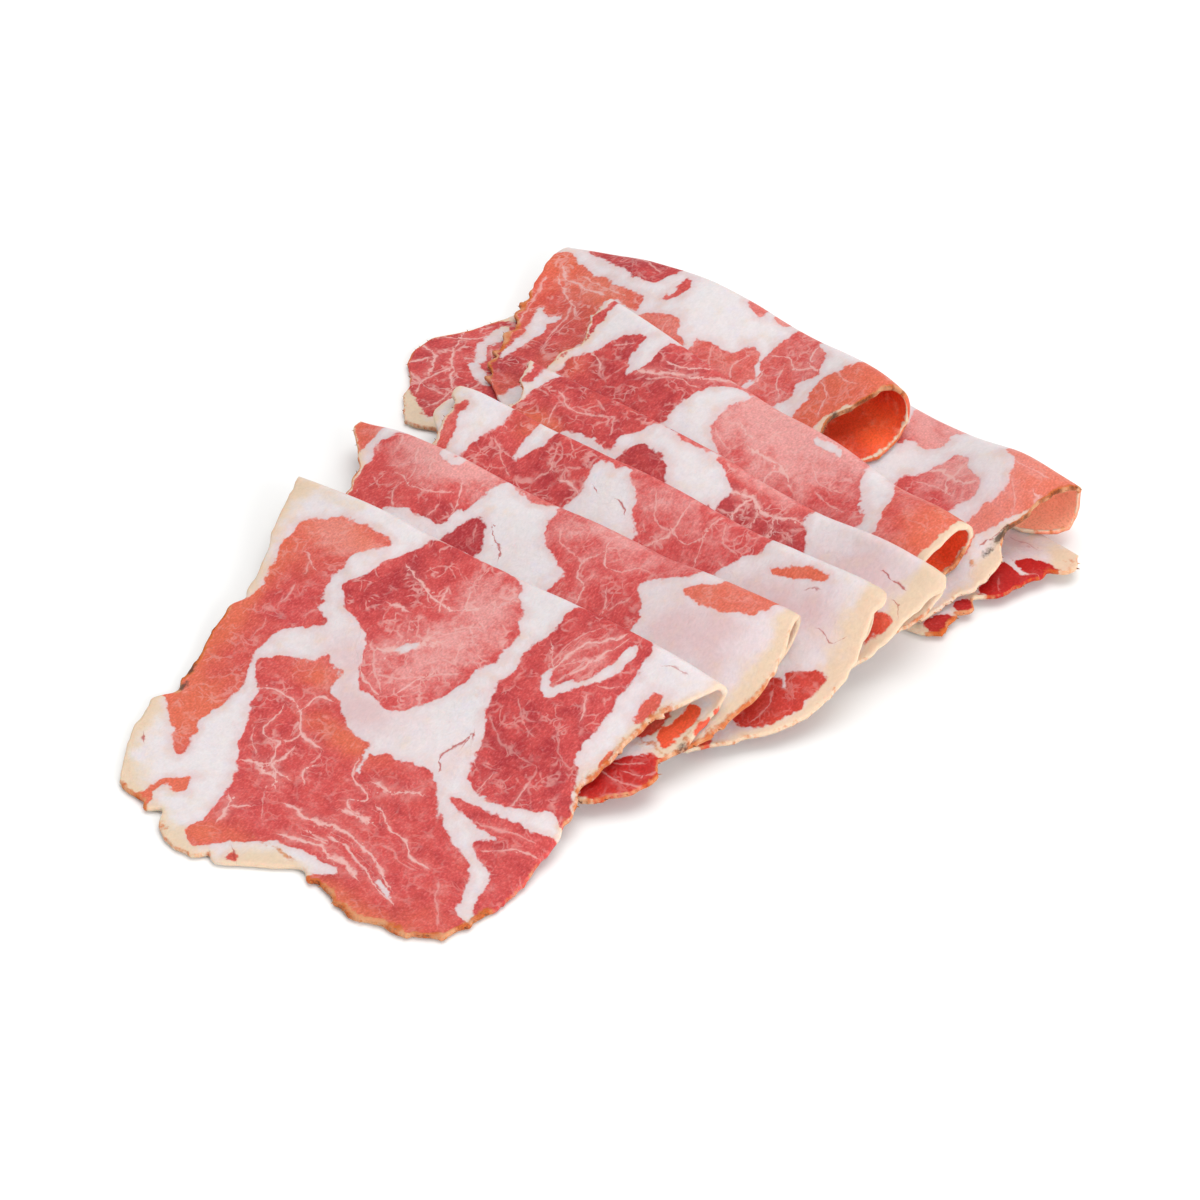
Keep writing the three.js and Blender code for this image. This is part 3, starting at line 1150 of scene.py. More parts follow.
    def make(self, below: list["Slice"], finish: bpy.types.Material) -> bpy.types.Object:
        """Makes the slice as one closed mesh.

        Args:
            below: The slices that lie below.
            finish: Its material.

        Returns:
            The new object.
        """
        sheet = self.sheet()
        rows, columns = sheet["along"].shape
        outer = self.folded(sheet["along"], sheet["away"], 1.0, below)
        inner = self.folded(sheet["along"], sheet["away"], -1.0, below)
        ring = [(0, j) for j in range(columns)]
        ring += [(i, columns - 1) for i in range(1, rows)]
        ring += [(rows - 1, j) for j in range(columns - 2, -1, -1)]
        ring += [(i, 0) for i in range(rows - 2, 0, -1)]
        ri, rj = np.array(ring).T
        ii, jj = np.clip(ri, 1, rows - 2), np.clip(rj, 1, columns - 2)
        middle = (outer + inner) / 2
        push = middle[ri, rj] - middle[ii, jj]
        push /= np.maximum(np.linalg.norm(push, axis=-1, keepdims=True), 1e-6)
        wall = middle[ri, rj] + self.WALL * push
        points = np.concatenate([outer.reshape(-1, 3), inner.reshape(-1, 3), wall])
        points[:, 2] = np.maximum(points[:, 2], 0.0)
        faces = self._faces(rows, columns, ri * columns + rj)
        if self._volume(points, faces) < 0:
            faces = faces[:, ::-1]

        mesh = bpy.data.meshes.new(self.node + "_coppa")
        mesh.vertices.add(len(points))
        mesh.vertices.foreach_set("co", (points * MM).astype(np.float32).ravel())
        mesh.loops.add(faces.size)
        mesh.loops.foreach_set("vertex_index", faces.astype(np.int32).ravel())
        mesh.polygons.add(len(faces))
        mesh.polygons.foreach_set("loop_start", np.arange(0, faces.size, 4, dtype=np.int32))
        mesh.update(calc_edges=True)
        mesh.polygons.foreach_set("use_smooth", np.ones(len(faces), bool))
        mesh.validate()

        outside = self.fields(sheet)
        inside = self._inside(sheet, outside)
        for name in self.FIELDS:
            parts = (outside[name].ravel(), inside[name].ravel(), outside[name][ri, rj])
            self._store(mesh, name, "FLOAT", np.concatenate(parts))
        shift = 40.0 * self.seed
        level = np.full((rows, columns), shift)
        flat = np.stack([sheet["along"] + shift, sheet["away"], level], -1)
        face = flat.reshape(-1, 3)
        parts = (face, face + (0, 0, 0.5), flat[ri, rj] + (0, 0, 0.25))
        self._store(mesh, "sheet", "FLOAT_VECTOR", np.concatenate(parts))
        mesh.materials.append(finish)
        return shown(mesh.name, mesh)

    @staticmethod
    def _faces(rows: int, columns: int, rim: Array) -> Array:
        """Lists the faces of both sides of the sheet and of the wall around its rim.

        Args:
            rows: Points of the sheet down.
            columns: Points of the sheet across.
            rim: The numbers of the points that the rim runs through, in order.

        Returns:
            Four point numbers for each face.
        """
        size = rows * columns
        i, j = np.meshgrid(np.arange(rows - 1), np.arange(columns - 1), indexing="ij")
        a = (i * columns + j).ravel()
        b, c, d = a + columns, a + columns + 1, a + 1
        following = np.roll(rim, -1)
        mid = 2 * size + np.arange(len(rim))
        mid_next = np.roll(mid, -1)
        quads = (
            (a, b, c, d), (a + size, d + size, c + size, b + size),
            (rim, following, mid_next, mid), (mid, mid_next, following + size, rim + size),
        )
        return np.concatenate([np.stack(corners, -1) for corners in quads])

    @staticmethod
    def _store(mesh: bpy.types.Mesh, name: str, kind: str, values: Array) -> None:
        """Keeps a value for each point on the mesh.

        Args:
            mesh: The mesh.
            name: The attribute's name.
            kind: FLOAT or FLOAT_VECTOR.
            values: One number or one row of three for each point.
        """
        slot = mesh.attributes.new(name, kind, "POINT")
        key = "value" if kind == "FLOAT" else "vector"
        slot.data.foreach_set(key, values.astype(np.float32).ravel())

    @staticmethod
    def _volume(points: Array, faces: Array) -> float:
        """Measures what the faces enclose.

        Args:
            points: The points.
            faces: Four point numbers for each face.

        Returns:
            Six times the volume, below zero if they point inwards.
        """
        a, b, c, d = (points[faces[:, k]] for k in range(4))
        first = np.einsum("ij,ij->i", a, np.cross(b, c)).sum()
        second = np.einsum("ij,ij->i", a, np.cross(c, d)).sum()
        return float(first + second)


# ---- the slices ----


def hidden_half(shift: float = 0.0) -> tuple[tuple, ...]:
    """Muscles of a lower flap, which mostly lies out of sight.

    Args:
        shift: How far they sit along the crease from their usual places.

    Returns:
        A row of values for each of them.
    """
    usual = (
        (((-40, -6), (-26, -5), (-24, -14), (-30, -24), (-40, -22)), 0.4, 0.3),
        (((-18, 2), (0, 2), (6, -8), (2, -22), (-14, -24), (-21, -12)), 0.5),
        (((12, -3), (28, -4), (30, -14), (24, -24), (10, -20)), 0.3),
    )
    return tuple((tuple((x + shift, y) for x, y in outline), *looks) for outline, *looks in usual)


def front_slice() -> Slice:
    """The slice laid on last, seen nearly whole.

    Returns:
        The slice.
    """
    left_lobe = (
        (-24.5, 5), (-20.4, 5.7), (-22.6, 8.2), (-24.8, 10.7), (-25.2, 17), (-24.5, 20),
        (-23.6, 22.5), (-20.7, 24.7), (-17.6, 26.3), (-20.7, 28), (-23.2, 30.4), (-24.5, 33.5),
        (-24.8, 37.5), (-22.9, 41), (-21.4, 44.7), (-21.4, 49.7), (-22.9, 54.4), (-21, 56.6),
        (-18.7, 62.2), (-20.7, 61.6), (-23.9, 58), (-27.6, 56.3), (-31, 53.5), (-38, 50),
        (-40, 34), (-36, 30), (-34.2, 27), (-35, 24), (-36.4, 20.4), (-37.9, 16), (-38.7, 13),
        (-37.9, 9.7), (-35.1, 7.2), (-30.8, 6),
    )
    round_eye = (
        (-14.5, 1), (6, 1), (7, 4.8), (9.6, 6), (11.2, 8.5), (11.8, 11.6), (13.3, 16.3),
        (11, 20.5), (10.8, 24), (9.6, 27.5), (7.4, 31), (5.5, 34), (1.7, 35), (-2.6, 33.5),
        (-5.8, 32.3), (-7.3, 30), (-9.5, 26.6), (-12, 24), (-15, 22.6), (-18.9, 21.6), (-21.9, 19),
        (-22.2, 17.4), (-19.8, 13.6), (-20, 10.4), (-17, 6),
    )
    right_meat = (
        (17.7, 0), (17.4, 6), (15.8, 12), (16, 17.3), (15.2, 21), (16.8, 24.8), (18.9, 28),
        (21.8, 31.6), (22.4, 34.8), (25.2, 39), (31.8, 39.4), (35.4, 38.4), (37.4, 36.6),
        (40.5, 36.6), (43.4, 37.4), (42, 33), (40, 30), (38, 27.5), (36.8, 24), (36, 16.6),
        (35.2, 8.5), (35.8, 1),
    )
    big_meat = (
        (-14.2, 31), (-12, 31.6), (-8.3, 34), (-6.7, 37.3), (-4.2, 37), (-2.3, 40), (1, 41.3),
        (6, 41.4), (6.6, 43.6), (10.5, 41.3), (14.3, 40.4), (17.7, 39.6), (20.5, 42.6),
        (23.6, 45.4), (27.4, 48), (31.8, 50.4), (35.5, 51), (38, 55.4), (39.3, 58.5), (41, 61.2),
        (47, 60), (47, 76), (17, 76), (16.2, 67.6), (21.5, 66.4), (18, 64.6), (11, 66.2),
        (6, 67.6), (3, 70), (0.6, 71.6), (-0.6, 75), (-3.9, 76.8), (-6, 74), (-5, 70), (-6.4, 65),
        (-7.3, 60.4), (-10.4, 57.3), (-13.3, 53.5), (-15.8, 49.8), (-18.3, 45.4), (-17.9, 42.3),
        (-20.8, 41.3), (-23.4, 39), (-21.6, 36.4), (-18.9, 34.8), (-15, 33.8),
    )
    corner_meat = (
        (23.9, 42.6), (29.3, 41.5), (35.5, 40.9), (39.9, 40.2), (47, 39.2), (48, 50), (47, 58.6),
        (42.4, 58.8), (40.4, 54), (38.8, 50.4), (35.5, 48.6), (32.2, 47.4), (34.3, 45.4),
        (38, 43.7), (29.3, 44.6), (25.5, 44),
    )
    over = Flap(
        (43, 37, 35.5, 32.3, 32, 25), (44, 41.7, 42.3, 45.4, 46.3, 45.7),
        (80, 76, 78, 76, 71, 69, 71, 71.5, 71.5),
        nicks=every(
            Nick, (LEFT, 28.8, 1.4, 0.7), (LEFT, 31.5, 1.6, -0.5), (LEFT, 44.5, 3, 0.6),
            (LEFT, 51.2, 1.8, 1.3), (LEFT, 55.2, 2.2, -1), (LEFT, 60, 2, 0.7), (END, -12, 1.5, 2),
            (END, -14.6, 0.9, -0.7), (END, 0.6, 0.9, 1.2), (END, 14.5, 2.6, 1.2),
            (END, 17.2, 0.9, -0.8), (RIGHT, 11, 4.5, 1.1), (RIGHT, 29.5, 1.8, 0.8),
            (RIGHT, 38.5, 1.2, -0.5),
        ),
        crusts=every(
            Crust, (LEFT, 31, 46, 0.95, 0.5, 0.4), (LEFT, 46, 52, 0.9, 0.8, 0.7),
            (END, 16.5, 44, 0.85, 1.1, 1.2), (RIGHT, 56, 70, 0.85, 1, 1.2),
            (RIGHT, 29, 37, 0.55, 0.5, 0.6), (RIGHT, 8, 30, 0.5, 1.3, 1.1),
            (END, -22, -14, 0.55, 0.8, 0.4), (END, -10, 2, 0.4, 0.5, 0.4),
            (RIGHT, 44, 56, 0.35, 0.4, 0.3),
        ),
        cream=(0.7, 0.7, 0.6), warm=(0.6, 0, 0),
    )
    under = Flap(
        (42, 38, 34), (48.5, 49, 45), (20, 24, 28, 31, 33),
        nicks=every(Nick, (RIGHT, 16, 2.4, 1.6), (RIGHT, 24, 3, -0.8)),
        crusts=every(Crust, (RIGHT, 9, 33, 0.52, 0.6, 1.2), (END, 36, 48, 0.5, 0.9, 1.1)),
        cream=(0.7, 0.9, 0.7), warm=(0.4, 0.1, 0.1), bark=(0, 0, 0.9),
    )
    muscles = every(
        Muscle, (left_lobe, 0.42, 0.3, 0.45), (round_eye, 0.34, 0, 0.8),
        (right_meat, 0.32, 0, 0.6), (big_meat, 0.42, 0.1, 0.3), (corner_meat, 0.4, 0.05, 0.4),
        (((-13.4, 64), (-12.6, 68.5), (-15.6, 69.2), (-16.8, 71), (-14.2, 73.4), (-16, 76),
          (-22, 75.6), (-21, 73.6), (-18, 73), (-17.6, 69.4), (-15, 67)), 0.5, 1.2, 0),
        (((3, 73.4), (4.6, 72.8), (4.8, 74.4), (3.4, 74.8)), 0, 0.1, 0),
        (((39.8, 8.4), (41.4, 7.8), (42.2, 9.4), (42, 12.6), (40.8, 14.8), (39.2, 13.8),
          (38.8, 10.8)), 0.4, 0.5, 0.1),
        (((40.6, 20.4), (41.6, 21.4), (41.6, 24.4), (40.8, 25.8), (40.2, 23)), 0.4, 1.2, 0),
        (((40, -29.5), (43, -31), (46, -31), (49.5, -27), (51, -19), (49.5, -14.4), (46, -15),
          (43, -17.4), (41, -20.4), (40, -24.5)), 0, 0, 0.15, 1),
        (((37.6, -15), (41.6, -14.8), (43, -11), (42, -6.8), (38.4, -6)), 0.4, 0.3, 0.1, 0.45),
        (((43.2, -14), (46.4, -13.6), (47.2, -9), (46.6, -4.4), (43.8, -4.6)), 0.2, 0.75, 0, 0.95),
        (((47.8, -10), (50.6, -9), (50.8, -2), (47.8, -1.6)), 0.5, 0.5, 0.1, 0.4),
        (((8, -20), (10, -6), (26, -4), (34, -14), (34, -30), (14, -30)), 0.4, 0.05, 0.7),
        (((-40, -6), (-12, -4), (-4, -16), (-12, -28), (-36, -24)), 0.4, 0.2),
    )
    seams = every(
        Seam,
        (((32.5, 4), (31.2, 9), (28.6, 12.6), (25.5, 15.4), (24.6, 18.4), (22.6, 17.6),
          (21.9, 14)), (2, 2.4, 1.6, 1.4, 1.8, 1.2, 0.7)),
        (((6.4, 43.2), (8, 46.6)), (1, 0.4)),
        (((-5, 24.2), (-3.4, 22.6), (-1.6, 21.4)), (0.5, 1.3, 0.3)),
        (((26.4, 63.2), (29.8, 64.4)), (0.8, 0.4)),
        (((37.4, 51), (39.4, 55.4), (40.4, 59), (42.6, 60.2)), (1.6, 1.2, 1.4, 1.2)),
    )
    strands = every(
        Line, (((-6, 25), (-3.4, 22.6), (-0.6, 20.4)), 1, 1.6),
        (((21.9, 14), (22.6, 10), (25.8, 5.6), (28, 3.4)), 0.95, 0.5),
        (((29.4, 3.4), (27.6, 7), (26.4, 11), (24.8, 13.6)), 0.7),
        (((20.4, 13), (21, 8), (23.4, 4)), 0.5), (((18.2, 9.6), (21.6, 13.2)), 0.6),
        (((30.4, 15), (31.8, 17.6), (32.6, 19.8)), 0.6), (((31, 12.2), (34, 11)), 0.5),
        (((26, 10), (24, 16)), 0.5), (((23.4, 11.6), (27.8, 8.4)), 0.5),
        (((19, 31), (20.6, 33.4), (22.4, 34.4)), 0.7, 0.5), (((27, 35), (27.4, 38.8)), 0.5),
        (((33, 33.8), (34, 38.4)), 0.55), (((21, 22), (24, 25), (28, 26)), 0.35),
        (((19, 27), (25, 30), (31, 30.4)), 0.3), (((30, 22), (33, 26), (37, 28)), 0.3),
        (((6.4, 45.2), (7.6, 47.6), (10, 49.4), (13.4, 50.8), (11, 52), (9.4, 52.8), (12, 54)),
          0.9, 0.35),
        (((15.6, 51), (18.6, 52), (21, 52.6), (26, 55.2), (30, 55.4)), 0.75, 0.35),
        (((4, 60), (8, 59.4), (12, 58.8), (16, 58.2), (20, 59), (25, 61), (28, 62.6)), 0.95, 0.55),
        (((8, 65), (11, 63.8), (15, 63), (18.6, 63.4), (22, 64.8)), 1, 0.65),
        (((14, 60.6), (18, 61), (22, 62.6), (27, 64.4), (31, 65)), 0.75, 0.35),
        (((10, 62), (14, 61.6)), 0.6, 0.4),
        (((13, 47.6), (15, 47.2), (16.6, 46), (18.4, 45.4)), 0.9, 0.7),
        (((12, 55), (14, 54.4), (16.4, 54)), 0.85, 0.8),
        (((-17.6, 42.2), (-15, 41.4), (-11.6, 41.9), (-9.2, 42.4), (-7.4, 43.8), (-5.8, 46.4)),
          0.9, 0.35),
        (((-9.2, 42.4), (-9.4, 40), (-8, 38.4), (-6.6, 38)), 0.9, 0.4),
        (((-5.8, 46.4), (-4.4, 47.4), (-1.6, 47)), 0.75, 0.4),
        (((-12.4, 44), (-11.4, 46), (-11.6, 48.6), (-10, 50.2), (-7.4, 50), (-5.6, 48),
          (-5.8, 46.4)), 0.7),
        (((-7.8, 44.6), (-7.2, 47.2)), 0.5), (((-7.4, 50), (-6, 52.6), (-5.4, 54)), 0.8, 0.4),
        (((-4.6, 50), (-3.8, 52), (-5.4, 54), (-3.6, 55), (-1.2, 55)), 0.85, 0.45),
        (((-8.6, 56.2), (-6.6, 55), (-5.2, 56.6), (-3.4, 56), (-1.6, 57.6)), 0.95, 0.6),
        (((-5.4, 54), (-6.6, 55)), 0.8, 0.4), (((-3.6, 55), (-3.4, 56)), 0.7, 0.4),
        (((0.8, 50.4), (0.4, 52.4), (1.6, 54)), 0.7, 0.4), (((-1, 47.4), (0, 50)), 0.5),
        (((-13, 49.6), (-11, 52.4), (-9, 53.8)), 0.5),
        (((-5, 64), (-3.4, 65.6), (-3, 68)), 0.95, 0.6), (((-1.4, 64), (-3.4, 65.6)), 0.7, 0.4),
        (((-1, 60), (0, 63), (2, 64.6)), 0.4), (((34, 57), (37, 61), (40, 64)), 0.35),
        (((22, 56.6), (26, 57.6), (29, 57)), 0.3), (((31, 43.8), (36, 42.6), (41, 42)), 0.4),
        (((36, 47), (40, 44.6), (43, 44)), 0.6), (((-33, 15.2), (-30, 16.8), (-28, 17.4)), 0.6),
        (((-30.6, 16.8), (-29.4, 19.4)), 0.45), (((-29.6, 22.6), (-28.8, 26)), 0.5),
        (((-28, 31), (-27.4, 36)), 0.3),
        (((-14, 8.6), (-11, 10.4), (-8, 11.4), (-5, 12), (-2, 12), (0, 10.8), (2.4, 10)), 0.85,
          0.4),
        (((-5, 9.6), (-4.6, 12), (-3.6, 13.4)), 0.7), (((-1, 7.4), (0, 10.8)), 0.6),
        (((-8, 11.4), (-6.4, 13)), 0.5), (((-11.4, 17.4), (-8.4, 17.2)), 0.65, 0.5),
        (((5.4, 15), (5, 18), (6.2, 20.6)), 0.5), (((-1.4, 18), (1, 17.2), (3, 15.4)), 0.45),
        (((-12.6, 24), (-10, 27.4), (-7.4, 30.6), (-4, 32), (-0.6, 32.8)), 0.7),
        (((-9, 25.6), (-5, 29), (-1, 31.6)), 0.5),
        (((-3, 30), (1, 28.4), (5, 25), (8.6, 22)), 0.5),
        (((2.6, 31), (3.2, 28), (4.8, 24.6)), 0.7), (((2.4, 23.4), (4.6, 21.4), (7.4, 20.8)), 0.4),
        (((41, -24), (44, -24.8), (46, -23.6), (48, -20.8), (50, -19.6)), 0.8, 0.35),
        (((44, -21.6), (46.6, -20), (47.4, -17.2)), 0.8), (((46, -28), (48.4, -25)), 0.6, 0.25),
        (((43.4, -27.6), (46, -25.6), (49, -22.6)), 0.4, 0.25), (((42, -21), (45, -18)), 0.7),
    )
    patches = every(
        Patch, (WARM, -39, 34, 7, 22, 0.8), (WARM, -28, 26, 7, 6, -0.4),
        (WARM, -26, 54, 7, 7, 0.9), (WARM, -28, 8, 9, 4, 0.4), (PINK, -30, 9, 9, 4, 0.75),
        (VEINS, -9, 49, 9, 7, 0.4), (PINK, -9, 49, 9, 7, -0.1), (VEINS, -16, 40, 5, 4, 0.3),
        (WARM, 20, 71, 24, 3.4, 0.8), (PINK, 20, 70, 24, 3, -0.35), (WARM, 1, 43, 8, 2.6, 0.8),
        (WARM, -4, 74, 4, 4, 0.5), (WARM, 38, 66, 7, 4, 0.3), (PINK, 3, 8, 8, 8, 0.5),
        (PINK, 5, 17, 7, 8, 0.35), (PINK, -14, 12, 7, 8, -0.2), (PINK, 26, 10, 5, 5, 0.4),
        (PINK, 30, 30, 12, 8, -0.1), (PINK, 0, 26, 10, 8, 0.45), (PINK, -12, 36, 8, 4, 0.1),
        (WARM, -12, 35, 7, 3, 0.6), (PINK, 3, 74, 5, 4, 0.4), (CREAM, -44.6, 10, 2.4, 14, 0.4),
        (CREAM, -30, 63, 5, 9, 0.7), (CREAM, -22, 72, 8, 5, 0.5), (CREAM, -8, 77, 9, 3, 0.6),
        (CREAM, 9, 71, 8, 3, 0.6), (CREAM, 42, 20, 1.4, 8, 0.6), (HAZE, -2, 37, 12, 5, 2),
        (HAZE, 20, 37, 3, 6, 0.9), (HAZE, -11, 30, 7, 4, 2.2), (CREAM, -38, 3, 8, 2.4, 0.5),
        (MOULD, -32, 46.5, 1, 2.4, 1.6, 15), (MOULD, -30, 50, 1.2, 2, 1.4),
        (VEINS, 46, -22, 5, 8, 0.4), (PINK, 46, -24, 6, 8, -0.5),
        (MOULD, 48.2, -12, 1.4, 1.6, 1.2), (RIND, -9.5, 76.2, 1.6, 1.2, 0.45),
        (CREAM, 44, -9, 5, 6, 0.7), (RIND, 43.4, -14.6, 3, 0.7, 0.5),
        (RIND, 47.4, -8, 0.5, 4, 0.4), (RIND, 11, 68.6, 2.6, 0.6, 0.5),
        (RIND, 6, 68.4, 4, 0.5, 0.4),
    )
    cracks = every(
        Line, (((18.8, 31), (18.5, 34), (17, 36.6), (18.6, 39)), 1, 0.36),
        (((-26.8, 63), (-26.4, 63.4)), 1, 0.5), (((3, 72.6), (4.6, 73.6)), 0.9, 0.5),
        (((38.6, 3.4), (40.6, 2.6), (42.6, 3.2)), 0.6),
        (((41.2, 21.4), (41.8, 24), (41.4, 27)), 0.7),
    )
    return Slice(
        node="slice_8", start=(-55.5, -5), end=(42.5, -9), crease=(1.4, 2), loose=20, seed=8,
        over=over, under=under, marbling=Marbling(muscles, seams, strands, patches, cracks),
    )


def second_slice() -> Slice:
    """The slice right behind the front one.

    Returns:
        The slice.
    """
    over = Flap(
        (40.5, 38, 34), (53.6, 50.8, 42), (44, 50, 52, 50, 46),
        nicks=every(
            Nick, (LEFT, 3.4, 1.6, -1), (LEFT, 9, 2.6, 0.7), (LEFT, 12.6, 1.2, -0.6),
            (RIGHT, 4, 4, 0.7), (RIGHT, 22, 6, 0.4),
        ),
        crusts=every(
            Crust, (LEFT, 2, 14, 0.5, 0.4, 0.5), (LEFT, 10, 22, 0.7, 0.5, 0.6),
            (RIGHT, 14, 40, 0.62, 0.8, 0.5), (RIGHT, 5, 14, 0.34, 0.5, 0.2),
        ),
        cream=(0.9, 1, 0.4), warm=(0.35, 0.3, 0.3), bark=(0.35, 0, 0),
    )
    under = Flap(
        (42, 38, 34), (50, 50, 46), (20, 24, 28, 30, 32),
        crusts=every(Crust, (RIGHT, 8, 32, 0.75, 1, 0.8)), cream=(0.5, 0.9, 0.6),
        warm=(0.4, 0.9, 0.4),
    )
    muscles = every(
        Muscle,
        (((-42, 5.4), (-40.4, 2.4), (-37.4, 0.4), (-32, -0.6), (-29, -2), (-16, -3), (-13.4, 2),
          (-14.6, 4.6), (-16, 8), (-16.4, 11), (-17.8, 9.8), (-17.4, 13), (-18.4, 16), (-21, 15.2),
          (-24, 15.2), (-29, 15), (-31, 17), (-33, 22), (-38, 24), (-39.6, 14), (-40.6, 9)), 0.38,
          0.05, 0.8),
        (((-54, -8), (-46, -6), (-44, -1), (-43.8, 3.4), (-44.2, 7), (-42.8, 10), (-41.4, 14),
          (-42.8, 20), (-50, 16)), 0.55, 0.5, 0.4),
        (((-13.4, 10.2), (-10.6, 10.4), (-9.4, 13), (-7, 17.4), (-5, 30), (-18, 30), (-16, 17.4),
          (-15, 13.4)), 0.05, 0, 0.25),
        (((-2, -2), (-1.8, 3), (-1.2, 5.4), (0.6, 8), (2.6, 10), (6, 12), (8.6, 12.6), (7.8, 14),
          (7.6, 18), (8, 36), (27, 36), (27, 17.6), (26, 14), (24, 12), (22, 10), (24, 8), (27, 6),
          (30, 5), (31, 3), (30, -2)), 0.56, 0, 0.55),
        (((29.6, 8), (33, 5.6), (35.6, 3.6), (35.4, 0), (36.4, -3), (44, -3), (46.6, 0),
          (47.4, 2.4), (46.4, 5), (43, 7), (40, 8.4), (35, 8.8)), 0.72, 0.7, 0.3),
        *hidden_half(2),
        (((40, -14), (50, -12), (53, -24), (47, -33), (40, -30)), 0.1, 0.5, 0.5, 0.6),
    )
    seams = every(Seam, (((-28.4, -3), (-27.6, 1), (-25.6, 2.4), (-23.6, 0)), (3, 3, 1.6, 3)))
    strands = every(
        Line, (((-34, 9), (-29, 11), (-24, 9.6), (-21, 9)), 0.6),
        (((-33, 3.4), (-30, 8), (-31, 13), (-29.4, 15)), 0.55),
        (((-20.6, 6), (-19, 9.6), (-17.8, 12)), 0.7), (((-37, 8), (-33, 6)), 0.4),
        (((-22, 12), (-21.4, 14.6)), 0.5), (((12.6, 2.6), (12.2, 6.4), (15.4, 9.4)), 0.7),
        (((12.2, 6.4), (9, 9.6), (11, 12.4)), 0.6), (((15.4, 9.4), (18, 9), (20.4, 7)), 0.5),
        (((11, 12.4), (14, 13.6), (15, 16.8)), 0.7), (((18, 13), (20, 16.6)), 0.5),
        (((2, 5), (5, 8.6), (9, 9.6)), 0.4), (((22, 12.6), (21, 16)), 0.4),
        (((-12, 11.6), (-10, 14.4)), 0.3),
    )
    patches = every(
        Patch, (PINK, 12, 3, 12, 4, 0.3), (PINK, -26, 3, 12, 6, 0.85), (PINK, -20, 12, 5, 4, -0.3),
        (CREAM, 50.8, 10, 1.6, 16, 0.6), (HAZE, 38, 13, 12, 6, 2.4), (PINK, 22, 15, 5, 4, -0.25),
        (HAZE, -3, 14, 5, 4, 0.5), (WARM, 8, 15, 2.5, 3, 0.2),
    )
    cracks = every(
        Line, (((-9.4, 10.6), (-7.2, 12.6), (-5, 14), (-3.6, 15.6)), 1, 0.34),
        (((-12, -0.6), (-10.6, 0.6), (-10, 2)), 0.7, 0.2),
    )
    return Slice(
        node="slice_7", start=(-57, 14), end=(44, 10), crease=(1.4, 3.2), seed=7, over=over,
        under=under, marbling=Marbling(muscles, seams, strands, patches, cracks),
    )


